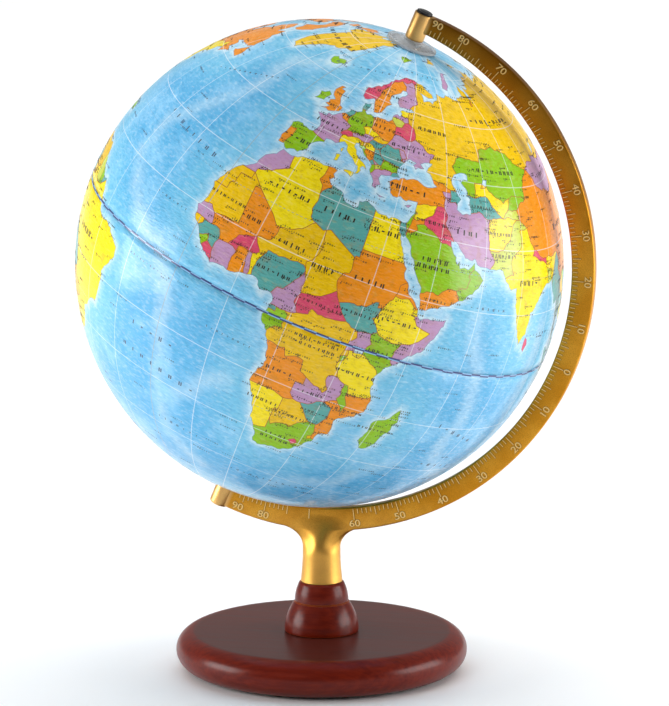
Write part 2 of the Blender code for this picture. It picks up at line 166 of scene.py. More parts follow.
# The map's outlines as "longitude latitude" pairs in degrees, joined in order
COASTS = {
    "africa": "-5.9 35.8,-2.9 35.3,-1 35.7,1 36.5,4 36.9,7.5 37,9.8 37.3,11 37,10.5 35.8,11.1 35.2,"
    "10.2 34.2,11.1 33.2,13.2 32.9,15.2 32.4,15.7 31.4,18 30.6,19.6 30.4,20.2 31,20 32.2,21.6 32.9,"
    "23.1 32.5,25 31.7,27 31.2,29 30.8,30.5 31.5,32.3 31.2,32.5 29.9,33.5 28,34 26.6,35.5 24,35.8 22.8,"
    "37.2 21,37.4 18.8,38.6 18,39.6 15.5,41.2 14.6,43.1 12.6,43.3 11.5,44.5 10.4,47 11.1,49 11.3,"
    "51.2 11.9,51 10.4,49.8 8,48 4.5,46 2.4,43.5 .4,41.6 -1.7,40.2 -2.6,39.2 -4.7,38.8 -6.3,39.5 -7.2,"
    "39.5 -9,40.4 -10.4,40.6 -12.8,40.6 -15,39 -17,37 -17.9,34.9 -19.8,35.5 -22.2,35.5 -23.9,33 -25.2,"
    "32.8 -26.2,32.8 -27.5,31 -29.8,28.5 -32.6,25.8 -33.9,22 -34.1,20 -34.8,18.4 -34.2,18.2 -32.2,"
    "17 -29.7,15.2 -27,14.5 -23.6,14.3 -22,12.8 -19.2,11.8 -17.2,12.2 -15.2,13.6 -12.3,13.8 -10.6,13 -8.8,"
    "12.2 -6,11.2 -4,9.2 -2.2,8.8 -.7,9.4 .4,9.6 2.2,9.7 3.8,8.9 4.6,7 4.4,6 4.3,5 5.9,4.2 6.4,2.6 6.3,"
    "1 5.9,-1 5.1,-2.2 4.8,-4 5.2,-5.8 5,-7.6 4.4,-9.2 5.5,-11.4 6.9,-13.2 8.8,-13.8 9.8,-15 10.9,"
    "-16.7 12.3,-16.8 13.6,-17.5 14.7,-16.5 16,-16.2 18.5,-16.3 20,-17 21,-16.3 22.5,-15.5 24.5,"
    "-14.5 26.2,-13 27.7,-11.2 28.7,-9.9 29.8,-9.7 31.4,-8.3 33.2,-6.8 34",
    "eurasia": "32.3 31.2,32.5 29.9,33 28.8,34.2 27.8,34.9 29.5,34.8 28,37 25.2,38.4 23.5,39.1 21.5,"
    "40.6 19.5,42.3 17,42.8 15,43.3 12.8,45 12.9,48 14,51 15.2,52.2 16,54.5 17,57 18.9,58.6 20.5,"
    "59.8 22.5,58.4 23.8,56.6 24.6,56.3 26.2,54.5 24.3,51.8 24.2,51.5 25.8,50.8 25,50.2 26.6,48.8 28,"
    "48 29.8,49.5 30.1,50.9 28.8,53 26.8,56.2 27.1,57.2 25.8,61.5 25.2,66.5 25.2,67.3 24,69 22.3,"
    "70.3 20.9,72.6 21.4,72.8 19,73.6 15.8,74.8 12.8,76.3 9.8,77.5 8,78.2 9,79.8 10.4,80.2 13,80.2 15.5,"
    "82.3 16.7,85 19.5,87 21.2,89 21.8,91.8 22.5,92.4 20.7,94.3 18,94.3 16,97 16.8,97.8 14.6,98.7 11.5,"
    "98.3 8.2,100.3 6.4,101.3 2.9,103.6 1.4,104.2 2.6,103.4 4.2,102.3 6.3,100.4 7.3,99.3 9.3,100 12.8,"
    "101 13.4,102.7 12,104.9 10.3,105 8.7,107 10.4,109.2 11.8,108.9 15.3,106.5 18,105.8 19.8,107.5 21.4,"
    "110 21.4,110.2 20.4,111 21.5,114.2 22.3,117.5 23.8,119.5 25.7,121.6 28.5,121.9 30.9,120.8 32.8,"
    "119.2 35,122.3 36.9,120.8 37.8,118.9 37.4,117.7 38.8,119.6 39.9,121.2 40.8,121.3 39,124.3 39.9,"
    "125.2 37.9,126.6 37,126.4 34.6,129 35.2,129.4 36.9,127.6 39.6,129.8 41.2,130.8 42.3,133 42.8,"
    "136 44.8,138.5 47,140.4 50.5,141.3 53,138.5 53.9,135.3 54.8,139 57.2,143 59.3,149 59.6,153 59.1,"
    "155 59.6,157 61.6,160 61.8,163.3 62.6,159.5 60,156 57,155.6 54,156.7 51,158.5 52.8,160 54.5,"
    "162.3 56.2,163.2 58,164.5 59.8,170 60,174 61.8,179 62.5,177.5 64.7,181 65.2,186.5 64.4,190 66,184 67,"
    "180 68.9,176 69.8,169 69,161 69.5,152 71,145 72.4,140 72.6,137 71.4,131 71,127 73.4,120 73,"
    "113.5 73.8,106.5 73.2,113 75.6,104.2 77.7,100 76.3,93 76,87 75,80.5 73.6,80.5 72.2,75 72.7,74.8 68.8,"
    "72.8 69,71.6 66.6,70 66.6,72.5 68.5,72.6 71,69.5 73,67 71.5,66.8 69.7,68.5 68.3,64.5 69.4,60.5 68.8,"
    "54.5 68.4,48 67.7,44 68.5,43.5 66.4,40.2 64.6,37 65,34.8 64.4,34.5 65.6,32.5 67,38 66.1,41.2 66.6,"
    "40.5 67.8,36 69.2,31 70.3,28 71,24.5 71,20 70,16 68.6,14 67.2,12.3 65.5,10.5 64,8 63.3,5.2 62,5 60.5,"
    "5.5 58.8,7 58,9.5 58.9,10.6 59.4,11.2 59,11.8 57.6,12.8 56,13 55.4,14.3 55.5,15.9 56.1,16.6 57.5,"
    "17 58.6,19 59.8,17.3 60.7,17.3 62.2,19.5 63.6,21.5 64.5,22.2 65.7,24.5 65.8,25.3 65,22.8 63.7,"
    "21.3 62.6,21.4 61,22.8 59.9,25 60.2,28.5 60.5,30 59.9,28 59.5,24.5 59.4,23.5 58.8,24.4 58.2,24 57.1,"
    "22.5 57.6,21.2 56.8,21 55.3,19.8 54.4,18.5 54.7,16.5 54.5,14 54,12.5 54.4,11 54,10 54.6,10.6 57.5,"
    "8.2 56.9,8.2 55.4,8.8 54,7 53.4,5 53.3,4.2 52,2.6 51.2,1.6 50.6,.2 49.5,-1.4 49.6,-1.6 48.7,"
    "-4.7 48.5,-2.8 47.4,-1.3 46,-1.3 44.5,-1.8 43.4,-4.5 43.5,-8 43.7,-9.2 43,-8.8 41.2,-9.4 38.8,"
    "-8.9 37,-7 37.1,-6.2 36.4,-5.4 36.1,-4.4 36.7,-2.1 36.8,-.8 37.7,.1 38.8,-.3 39.6,.8 41,3.2 42,"
    "3.1 43.1,4.8 43.4,6.5 43.1,7.6 43.8,8.8 44.4,10.2 43.8,10.6 42.6,12.3 41.7,14 40.8,15.7 40,16.1 38.8,"
    "15.7 37.9,16.6 38.3,17.1 39.3,16.6 39.8,17.2 40.5,18.5 40,17.8 40.9,15.9 41.7,14 42.7,12.4 44.3,"
    "12.4 45.4,13.7 45.6,13.6 44.9,15 44.5,16 43.5,18.2 42.5,19.5 41.6,19.4 40.3,21 38.8,21.7 36.8,"
    "22.9 36.5,23 37.4,24 37.8,22.9 39.2,23.3 40.2,26 40.8,27 40.7,29 41.1,28 41.9,27.8 43.2,28.7 44.3,"
    "30.2 46,31 46.6,33.5 46.1,32.6 45.4,33.6 44.5,35.3 45.1,36.5 45.3,35 46.2,37.8 47.2,39.2 47.1,38 46,"
    "37.4 44.8,39.7 43.4,41.5 41.8,38.5 41,36 41.6,33.5 42,31.3 41.2,29.4 41.1,29 40.5,27.3 40.2,"
    "26.3 39.4,27 38,27.4 36.8,29.5 36.2,30.6 36.8,32.5 36.1,34.2 36.6,36 36.7,35.8 35,35 33,34.2 31.3,"
    "33.2 31",
    "caspian": "47 45,49 46.4,51 46.9,53 46.5,53 45.2,51 45,50.3 44.4,52.7 42.5,52.6 41.5,53.8 40.9,"
    "53.7 39,53.9 37,51 36.7,49 37.6,49 39,50.3 40.3,48.5 41.8,47.5 43,46.8 44.4",
    "aral": "58.4 44,60 46.2,61.5 46.2,60.6 44.3",
    "victoria": "31.8 -1.9,33.5 -2.2,34 -.4,32.8 .3,31.8 -.2",
    "baikal": "104 51.6,107.6 52.4,109.8 55,108.4 53.8",
    "madagascar": "49.3 -12,50.4 -15.6,49.6 -17,48.6 -20.5,47 -25,45 -25.4,43.7 -23.4,44.4 -20,44 -17.5,"
    "46 -15.8,47.8 -14.6,48.8 -12.6",
    "britain": "-5.6 50.1,-3.5 50.4,1.2 51.2,1.6 52.6,.2 53,-1.6 55,-2 57.5,-4 57.7,-3.1 58.6,-5 58.5,"
    "-6 56.7,-4.9 54.8,-3 53.9,-4.6 53.2,-4.2 52.3,-5.2 51.8,-3 51.4",
    "ireland": "-10 51.6,-6.4 52.2,-6 53.6,-5.6 54.6,-7.3 55.3,-8.5 54.4,-10 54.1,-9.2 53.2",
    "iceland": "-24 65.5,-22.2 66.4,-20.5 65.8,-16 66.5,-13.7 65,-18.5 63.5,-22.5 63.9",
    "svalbard": "11 79.5,16.5 76.7,21.5 78.4,27 80.1,16 80",
    "novaya": "51.6 71.3,55 70.7,57.5 72,60 75,68 76.7,66 77,56 75,52.5 72.5",
    "franz_josef": "48 80.4,60 80.2,62 81.4,50 81",
    "severnaya": "96 79,105 78.6,98 81",
    "new_siberia": "138 75,150 75,143 76",
    "sicily": "12.5 38,15.5 38.2,15.1 36.8,12.6 37.5",
    "sardinia": "8.3 40.8,9.6 41,9.5 39.2,8.5 39",
    "corsica": "8.7 42.3,9.5 43,9.4 41.6",
    "crete": "23.6 35.5,26.2 35.2,24.8 34.9",
    "cyprus": "32.4 35,34.4 35.6,33.6 34.7",
    "ceylon": "79.9 8.5,80.2 9.7,81.7 7.8,80.7 6,79.9 6.8",
    "sumatra": "95.4 5.5,98.8 3.6,103.6 -1,106 -3.2,105.5 -5.8,101.5 -3,97.5 2",
    "java": "105.4 -6.8,107 -6,110.8 -6.5,114.3 -7.6,114.2 -8.7,108 -7.8",
    "borneo": "109 1.8,111.5 2.5,115 5.3,117 7,119 5.2,117.8 3,118.9 1,116.5 -2,115.5 -4,111.5 -3.3,"
    "110 -1.4",
    "celebes": "119.4 -5.5,120.5 -5.5,121 -3,123 -4.5,121.6 -1.9,123.4 -.8,120.6 -.7,121 .5,125 1.6,"
    "120 1.2,119 -2.8",
    "guinea": "131 -.8,134 -1,135 -3.3,138 -1.6,141 -2.6,145.5 -4.8,147.8 -6,150.8 -10.4,147 -9.6,"
    "143.5 -8.4,141 -9.1,138 -8.2,138.5 -6.8,133 -4,132.5 -2.8",
    "luzon": "120.2 16,120.7 18.5,122.2 18.4,121.6 15.8,124 12.8,120.8 13.8",
    "mindanao": "122 7,123.5 8.6,125.5 9.8,126.4 7,125.4 5.7,124 6.6",
    "visayas": "122 11.8,123.2 11,125.4 12.4,125 10.4,123 9.4",
    "formosa": "120.1 23,121.5 25.2,120.9 22",
    "hainan": "108.7 19.3,110.8 20,109.6 18.3",
    "honshu": "131 34.1,133 35.5,136.7 37.2,138.6 37.4,140 39.5,140.5 41.3,142 39.5,140.9 37,140.6 35.4,"
    "138.7 34.8,136 33.6,133 34.3",
    "kyushu": "129.8 33,131.7 33.4,131 31.3,130.2 31.4",
    "hokkaido": "140 42,141.6 45.3,145.2 43.5,143.2 42.1",
    "sakhalin": "142 46,142.2 50,142.8 54.2,144.5 49,143.4 46.6",
    "australia": "114.2 -22,113.6 -26,115.8 -32,115.2 -34.3,118.3 -35,123.5 -33.8,129 -31.7,131.5 -31.5,"
    "135.5 -34.8,137.8 -33,138.3 -35.6,140.8 -38,144 -38.6,146.5 -38.9,150 -37.4,151.5 -33,153.5 -29,"
    "153 -25.3,150.5 -22.8,149 -20.5,146 -18.8,145.3 -15,143.5 -14,142.5 -10.8,141.5 -13,141 -17.5,"
    "139 -17.4,135.6 -15,136.8 -12.2,132.5 -11.3,130.2 -13,129 -15,126 -14,122.3 -17.5,121 -19.6,117 -20.7",
    "tasmania": "144.7 -40.8,148.2 -41,147.6 -43.3,146 -43.5",
    "zealand_north": "172.8 -34.5,174.8 -36.5,178.4 -37.8,176.8 -40,175 -41.5,173.9 -39.3,174.8 -38",
    "zealand_south": "172.8 -40.6,174.2 -41.7,171 -44.5,170.5 -46,168.5 -46.6,166.6 -45.8,170 -43",
    "north_america": "-168 65.6,-161 64.5,-161 63.5,-165 62,-162 59.8,-158 58.7,-157.5 57,-162 55.2,"
    "-158 56,-154 58,-152 59.6,-150 60.8,-148 60,-144 60,-139.5 59.6,-136 58.2,-133.5 56,-130 54.5,"
    "-128 51.5,-124 49.2,-124.6 48.2,-124 46,-124.4 42.8,-124.2 40.3,-122.4 37.5,-120.6 34.6,-118 33.7,"
    "-117 32.5,-115.8 30,-114 27.6,-112 25,-110 23,-110.8 25.5,-112.8 28,-114.8 31.6,-113 31,-111 28,"
    "-109.3 26,-106.2 23.3,-105.4 20.5,-102 18,-98 16.2,-94.5 16.2,-92 14.4,-88 13.2,-85.7 11,-84 9,"
    "-82.5 8.2,-80 7.4,-79.3 8.9,-77.4 7.7,-77.4 8.6,-79.8 9.4,-82.5 9.2,-83.6 11,-83.3 14.8,-86 15.9,"
    "-88.4 15.9,-87.6 18.5,-87 21.4,-90.4 21.1,-91.2 18.8,-94.6 18.2,-96.2 19.4,-97.7 22.4,-97.2 26,"
    "-97.2 27.8,-95 29,-91 29.3,-89.3 29.3,-88 30.4,-85.2 29.8,-83.8 30,-82.7 28,-81.6 25.5,-80.3 25.5,"
    "-80.4 27.5,-81.4 30.5,-79 33.2,-75.8 35.3,-76 37.4,-74 40,-70.2 41.8,-70 43.6,-66.8 44.8,-65.5 43.5,"
    "-61 45.7,-64.5 46.5,-64.8 48.8,-68 49,-65 50.2,-60 50.2,-55.8 52,-57.8 54.8,-61.5 56.8,-64.5 60.2,"
    "-67.5 58.3,-69.5 60.8,-73 62.3,-78 62.4,-77.5 60,-78.5 58.6,-76.6 57,-79.3 54.8,-79.2 51.5,-81 51.2,"
    "-82.2 52.8,-82.3 55,-87 56,-92.5 57,-94.7 58.8,-93.5 61.5,-88 64,-87 65.4,-83 66.3,-81.4 68.4,"
    "-85 69.6,-90 68.5,-94 71.8,-96 68.2,-104 68,-108.5 67.7,-115 68,-124 70,-128.5 70,-135 69.4,"
    "-141 69.7,-150 70.5,-156.5 71.3,-162 69.8,-166 68.4,-163 66.8",
    "superior": "-92 46.8,-88.5 48.6,-85 47.7,-84.7 46.5,-88 46.8",
    "huron": "-87.6 42,-88 45,-85.5 46,-83.5 46,-80.5 45.4,-82.4 43.2,-84.4 45.4,-86.3 44",
    "baffin": "-80 73.7,-76 72.8,-70 70.8,-64 67.5,-62 66.4,-65.5 62.5,-69 62.5,-73 64.5,-77.5 64.4,"
    "-73 67.5,-76 69.5,-84 70,-89.5 71.2,-87 73.6",
    "victoria_island": "-105 69,-114 69.3,-117.5 71,-119 72,-115 73.4,-105.5 73,-102 70.2",
    "banks": "-125.5 72.2,-123 71.3,-120 73,-121 74.4,-125 74",
    "ellesmere": "-62 82.4,-75 83,-90 81.4,-86 79,-80 76.3,-76 78.4,-67 80.5",
    "devon": "-80 75.6,-92 76.6,-96 75.4,-88 74.6",
    "newfoundland": "-59.4 47.7,-55.8 51.5,-53 48.6,-53.3 46.7,-56 47",
    "cuba": "-85 21.9,-82.5 23.2,-77 21.7,-74.2 20.2,-77.5 19.8,-78.5 21.2",
    "hispaniola": "-74.4 18.4,-73 20,-69.8 19.8,-68.4 18.5,-71.4 17.7",
    "greenland": "-73 78.2,-67 76,-58.5 75.4,-54.5 71.5,-53.6 68,-52 64.5,-48.5 61,-43.8 60,-42 62.8,"
    "-39.5 65.6,-32 68.2,-22.5 70.2,-20 74,-18.5 77,-20 80,-12 81.7,-30 83.5,-45 82.6,-60 82,-66 80.5",
    "south_america": "-77.4 8.6,-75.5 10.6,-72 12,-71.5 10.9,-68.5 11,-64.5 10.2,-62 10.6,-60 8.6,-57 6,"
    "-52 4.8,-50 1.5,-48.5 -.8,-44 -2.6,-40 -2.9,-37 -4.8,-35.2 -5.8,-34.9 -8,-37 -11,-39 -13.5,"
    "-39.2 -17.8,-41 -22,-44.5 -23.1,-48.5 -26,-48.8 -28.6,-52 -32.8,-54.8 -34.8,-58.2 -34.2,-57 -36.4,"
    "-58 -38.2,-62.2 -39,-65 -41,-63.8 -42.6,-65.5 -45,-67.4 -46.2,-65.8 -47.8,-69 -50.8,-68.5 -52.5,"
    "-65.2 -54.8,-69.5 -55.3,-73 -53,-75.3 -50,-75.5 -46.8,-73 -43,-73.6 -39.8,-73.5 -37,-71.6 -33,"
    "-71.3 -29.5,-70.3 -25,-70.2 -19,-72 -17.2,-76.3 -13.8,-79 -8.2,-81.3 -5.5,-80 -3.3,-80.8 -1,-80 .8,"
    "-78.5 2,-77.3 4,-77.4 7.7",
}
ICE_EDGE = (
    "-169 -84,-150 -77,-130 -74,-102 -73,-75 -71.5,-68 -67.5,-58 -63.5,-61 -68,-62 -75,-45 -78,-35 -78,"
    "-20 -73.5,-5 -70.5,15 -69.5,35 -69,50 -66.5,70 -68.5,80 -68,95 -66,115 -66.5,135 -66,150 -68.5,"
    "170 -71.5,165 -77.5,180 -82,191 -84"
)

# Land borders. They run a little past the coast, and only what lies between two lands is drawn.
# Those of the second list are ruled lines.
BORDERS = (
    "-8.7 27.7,-8.7 28.7,-5 30,-3.6 31,-1.3 32.3,-1.8 34.5,-2.2 35.9", "4.2 19.1,6 19.5,11.9 23.5",
    "11.9 23.5,10 24.4,9.4 26.2,9.9 28.5,9.5 30.2", "9.5 30.2,9.1 32.2,7.6 33.3,8.3 35,8.5 37.6",
    "9.5 30.2,10.2 31.5,11.6 32.5,11.5 33.6", "15 23,15.2 21.4,15.5 17,13.5 14.4,14 13",
    "24 19.5,24 15.7,22.9 15.5,22 13,22.8 11", "-5.4 15.5,-9.4 15.5,-11.4 15.2,-12.2 14.8",
    "-12.2 14.8,-14 16.3,-17 16.1", "-12.2 14.8,-11.4 12.4,-13.7 12.6,-17.2 12.5",
    "-13.7 12.6,-13.8 11.6,-15.4 10.6", "-11.4 12.4,-9 12.3,-8 10.2,-8.5 7.5,-10.5 8.5,-11 10,-13.8 8.8",
    "-10.5 8.5,-11.9 6.4", "-8.5 7.5,-7.5 4", "-8 10.2,-5.5 10.4,-4 13.3,-2 14.2,.2 15,2.2 12.4,2.4 11.9",
    ".2 15,3.6 15.6,4.2 16.9,4.2 19.1", "-5.5 10.4,-2.8 9.7,-2.8 11,0 11.1,1 11,2.4 11.9",
    "-2.8 9.7,-3.2 6.5,-2.9 4.6", "0 11.1,.5 8,1.2 5.6", "1 11,1.6 8.5,1.8 5.8", "3.6 11.7,2.8 9,2.7 5.9",
    "2.4 11.9,3.6 11.7,4.2 13.3,7 13,10 13.3,13.3 13.6,14 13",
    "14 13,14.2 12.4,13.5 10.5,12.2 8.5,11 6.6,9.6 6.5,8.5 4.1", "14.2 12.4,15 10.5,15.3 7.5",
    "15.3 7.5,18.6 8.1,22.8 11", "15.3 7.5,14.5 5,16.1 2.8,18.6 3.5,19 5,22.5 4.2,27.4 5.1",
    "22.8 11,24.2 8.7,27.4 5.1", "9.2 2.2,11.3 2.2,13.3 2.2,16.1 2.8", "9 1.1,11.3 1.1,11.3 2.2",
    "13.3 2.2,14.4 1.5,13.9 -1,14.4 -2,12.5 -2.2,10.9 -4.2",
    "18.6 3.5,17.8 .5,16.2 -2.2,15.2 -4.4,13 -4.6,11.4 -5",
    "11.9 -6,13 -5.9,16.6 -6,17.4 -8,19.6 -7,21.8 -7.3,22 -10,24 -11",
    "24 -11,25.5 -11.8,27.5 -12.3,29 -13.4",
    "29 -13.4,29.8 -12.2,28.5 -10,28.7 -8.5,30.8 -8.3,29.3 -6,29.4 -4.4,29.2 -3,29.6 -1.4,29.9 1,31.2 2.3",
    "31.2 2.3,30.8 3.6,27.4 5.1", "30.8 3.6,34 4.2,35 1.9,33.9 0,33.9 -1", "29.6 -1.4,30.5 -1.1,33.9 -1",
    "30.5 -1.1,30.8 -2.5,29.2 -3", "30.8 -2.5,30.4 -3.8,29.4 -4.4", "33.9 -1,37.6 -3,39.5 -4.9",
    "34 4.2,35.3 5,36 4.4,39.5 3.5,41.9 3.9,41 2,41 -.9,41.9 -2", "41.9 3.9,45 5,48 8,44 9,42.8 10.9",
    "43.6 11.3,42.8 10.9,41.8 11,42.4 12.5,43.5 12.8", "42.4 12.5,40 14.5,36.5 14.3,37 17,39 18.3",
    "36.5 14.3,36.2 13.3,34.3 10.6,34 8.6,33 7.8,35.3 5",
    "24.2 8.7,26.5 9.5,28.5 9.4,30.5 9.8,32.4 11.6,33.2 11.8,33.3 10.5,34.3 10.6",
    "30.8 -8.3,33 -9.4,34 -9.5,34.6 -11.5,37.5 -11.6,40.9 -10.5",
    "34.6 -11.5,34.5 -12.5,35.8 -14.6,35.3 -17",
    "33 -9.4,33.3 -12.4,32.7 -13.6,33.2 -14.1,34.4 -15.2,35.3 -17", "33.2 -14.1,30.2 -15.6",
    "25.2 -17.8,27 -17.6,28.8 -16,30.2 -15.6,32.9 -16.7,32.8 -20,31.3 -22.4",
    "25.2 -17.8,27.7 -20.7,29.4 -22.2,31.3 -22.4,32 -24.5,32 -26.8,33.3 -26.9",
    "22 -16.2,23.4 -17.6,25.2 -17.8", "18.4 -17.4,21 -18.3,23.4 -17.6", "20 -28.4,18 -29,16.1 -28.8",
    "20 -24.8,20.8 -26.8,23 -25.4,25.6 -25.6,27 -23.6,29.4 -22.2",
    "27 -29.6,28.4 -28.6,29.4 -29.6,28.2 -30.6,27 -29.6", "32 -25.8,30.9 -26.4,31.2 -27.3,32 -26.8",
    # Europe
    "-9.3 41.9,-6.6 41.9,-7 38.5,-7.4 36.7", "-2.2 43.8,-1.6 43.2,.7 42.7,3.6 42.4",
    "7.6 43.3,7 44.3,7 45.9,6.1 46.2,7.5 47.5,8.1 49,6.2 49.5,4 50,2.2 51.5",
    "7 45.9,9 46,10.4 46.6,9.6 47.5,7.5 47.5",
    "9.6 47.5,13 47.6,13.8 48.7,17 48.6,17 48,16.1 46.8,13.7 46.5,10.4 46.6", "13.7 46.5,13.5 45.2",
    "13.8 48.7,12.2 50.2,15 50.9,14.5 53,14.2 54.4", "15 50.9,17 50.2,18.8 49.5,17 48.6",
    "18.8 49.5,22.6 49.1", "6.2 49.5,6 51,7 52.5,7.1 53.8", "3 51.6,6 51", "7.9 54.9,10.4 54.8",
    "17 48,18.8 47.8,22.2 48.4,22.6 49.1", "22.2 48.4,20.3 46.2,18.8 45.9,16.1 46.8",
    "22.2 48.4,25 47.8,26.6 48.3,28.2 46,28.2 45.4,30.1 45.1",
    "20.3 46.2,21.5 44.7,22.8 44,25.5 43.7,29 43.7", "26.6 48.3,28.5 48.1,30 46.4,28.2 45.4",
    "13.3 45.3,15.5 45.6,16.1 46.8", "15.5 45.6,16 45,19 44.9,18.8 45.9", "16 45,15.9 44.2,17.6 42.5",
    "19 44.9,19.3 43.2,18.3 42.1", "19.3 43.2,20.5 42,19 41.6", "19.3 43.2,21.5 42.3,22.4 42.3,22.8 44",
    "20.5 42,20.9 40.9,19.7 39.3", "20.9 40.9,22.9 41.3,26.3 41.6,26 40.5", "20.5 42,21.5 42.3",
    "22.4 42.3,22.9 41.3", "26.3 41.6,28.4 42", "22.6 49.1,23.6 51.5,23.5 53.9,22.8 54.4,19.3 54.5",
    "22.8 54.4,21 55.6,20.7 55.2",
    "23.6 51.5,30.5 51.3,31.8 52.1,34 51.5,36 50.4,40 49.6,38.2 47.9,38.4 46.7",
    "31.8 52.1,31 55,28.2 56.1,26.6 55.7,25.8 54.2,23.5 53.9", "20.6 56.2,24 56.3,26.6 55.7",
    "23.9 57.9,27.4 57.5", "28.2 56.1,27.4 57.5,28 59.9",
    "27.4 60.1,31.4 62.8,29.8 65.5,29.5 68,28.8 69,30.8 70.8",
    "28.8 69,27 70,23.8 68.7,20.6 69,23.8 67.5,24.2 65.3",
    "20.6 69,16 67.5,14 64.5,12.2 63,12.5 61,11.8 59.5,10.9 58.6",
    # Near East and Asia
    "39.4 43.2,43.5 43,46.4 41.9,48.9 41.8", "41.1 41.4,43.5 41.1,46.5 41.2,46.4 41.9",
    "43.5 41.1,44.8 39.7,46.5 38.9", "46.5 38.9,46.5 41.2", "44.8 39.7,44.6 37.3",
    "46.5 38.9,48.2 39.3,49.3 38.4", "35.5 36,36.8 36.3,38 36.8,42.4 37.2,44.6 37.3",
    "42.4 37.2,41.2 34.6,39 33.3,36.8 32.4,35.7 32.8", "44.6 37.3,46 35.6,45.5 33.8,47.8 31.2,48.9 29.5",
    "35.7 32.8,35.4 31.2,34.9 29.2,34 31.6", "34.7 33,35.7 32.8,36.5 34.3,35.5 34.8",
    "39 33.3,39.2 32.1,37 31.5,37.6 30.3,36 29.2,34.6 29.2",
    "39.2 32.1,42 31.1,44.7 29.2,46.6 29.1,47.6 30.1,48.4 30", "46.6 29.1,48.9 28.5",
    "42.2 16.5,44 17.3,47.2 17,49 18.6,52 19,53.4 16.2",
    "52 19,55 20,55.6 22.2,55 22.7,52.6 22.9,51.2 24.6", "55 22.7,56 24.2,56.8 24.9", "50.6 24.6,51.7 24.2",
    "53.5 37.3,57 38.2,61.2 36.6,60.8 34,61 31.4,60.9 29.8", "60.9 29.8,63.2 27.2,61.6 24.8",
    "60.9 29.8,64.5 29.5,66.4 30,69.4 32.5,70 34,71.6 36.4,74.8 37.3",
    "61.2 36.6,64.5 37.2,67 37.3,70.5 37.6,74.8 37.3,73.8 39.5,69.5 39.5,67 37.3",
    "67 37.3,62.5 40,60 42.2,56 41.3", "52.3 41.8,56 41.3,56 45,58.8 45.2,61 44.6",
    "61 44.6,62 43.5,66 42,68 41,71 42.3", "69.5 39.5,70.5 41,71 42.3",
    "71 42.3,75 42.9,80.2 42.2,73.8 39.5", "80.2 42.2,80.5 45,83 47.2,87.3 49.1",
    "49 46,47 48,49 50.5,55 51,59.5 50.6,61 54,69 55.3,71 54.2,77 53.5,80 51,87.3 49.1",
    "67.6 23.4,71 24.4,70 27.8,73 30,74.6 31.2,74.8 33,74 34.7,77.8 35.5,74.8 37.3",
    "77.8 35.5,79 32.5,81 30.2,88.1 27.9,92 27.8,97.3 28.2", "81 30.2,80.1 28.8,84 27.4,88 26.4,88.1 27.9",
    "88 26.4,92 26.8,92 27.8", "89 21.4,89 24,88.2 25.6,89.8 25.2,92.4 25,91.2 23.6,92.3 22.4,92.5 20.2",
    "92.3 22.4,93.3 24,95.2 26.6,97.3 28.2,98.7 25,97.7 24,99.5 22.2,101.2 21.6,102.2 22.4,105.3 23.3,"
    "108.4 21.1",
    "101.2 21.6,100.1 20.3,97.8 18.5,98.6 16,99.2 13,98.4 9.6",
    "102.2 22.4,104.8 20,107 16.5,107.6 14.4,106 11.3,104.3 9.9",
    "100.1 20.3,101.2 17.6,104.6 17.5,105.6 14.5,107.6 14.4", "105.6 14.5,102.5 13.8,102.7 11.3",
    "99.8 6.7,102.4 6",
    "87.3 49.1,91 46.5,91 45.2,96 43,101 42.5,105 41.7,111.8 44,119.8 46.7,116 48,116.7 49.8",
    "87.3 49.1,92 50.8,98 50.3,98.3 52,102.3 51.2,107 49.7,114.3 50.2,116.7 49.8",
    "116.7 49.8,120 53,125.5 53,127.5 50,131 47.7,135 48.4,133 45,131 44.8,130.8 42.1",
    "124 39.8,128 42,131 42.5", "125.8 37.8,128.8 38.7", "108.9 2,112 1.3,115 2.5,118.4 4.2",
    # The Americas
    "-71.3 12.5,-72.8 9,-70 7,-67.4 6.2,-67.2 2.3,-67 1.2,-69.5 1,-70 -4.2",
    "-67 1.2,-64 1.6,-63 4,-60.7 5.2,-60.3 9.1", "-60.7 5.2,-59.8 2.3,-56.5 1.9,-54.5 2.3,-51.4 4.8",
    "-56.5 1.9,-57.2 6.4", "-54.5 2.3,-54 6.3", "-79.5 1.7,-75.2 -.1,-70 -4.2,-73.5 -7.3,-72 -10,-69.5 -11",
    "-75.2 -.1,-78.3 -3.5,-80.8 -4.2", "-69.5 -11,-69 -15.5,-69.5 -17.6,-70.9 -18.6",
    "-69.5 -11,-65.3 -10,-60.5 -13.7,-58.3 -16.5,-57.8 -19.5",
    "-57.8 -19.5,-62.3 -20.6,-62.6 -22.2,-67 -22.7,-68.5 -20,-69.5 -17.6",
    "-67 -22.7,-68.5 -25,-70 -30,-70 -35,-71.5 -39,-72 -45,-73 -50,-68.3 -52.2",
    "-57.8 -19.5,-58 -22,-55.6 -22.4,-54.3 -24.2,-54.6 -25.6",
    "-62.6 -22.2,-58 -24.8,-58.5 -27.3,-54.6 -25.6", "-54.6 -25.6,-54 -27,-57.6 -30.2,-58.5 -34.4",
    "-57.6 -30.2,-54 -31.8,-53 -34", "-130 56,-137.5 58.9,-135 59.6,-130 55.8,-130.6 54",
    "-89 48,-83.5 46.2,-82.5 43,-79 43,-75 45,-71 45.2,-69 47.3", "-69 47.3,-67.8 45.7,-66.8 44.4",
    "-117.6 32.5,-114.8 32.6,-111 31.3,-106.5 31.8,-104.5 29.6,-102.5 29.8,-99.5 27.5,-96.7 25.8",
    "-92.5 14.1,-91 16,-91 17.8,-88 18.5", "-88.2 16.2,-89.3 14.4,-87.6 12.9", "-87.3 12.6,-83 15",
    "-86 11.1,-83.3 10.9", "-83 8,-82.4 9.9", "-71.7 19.8,-71.7 17.6",
)
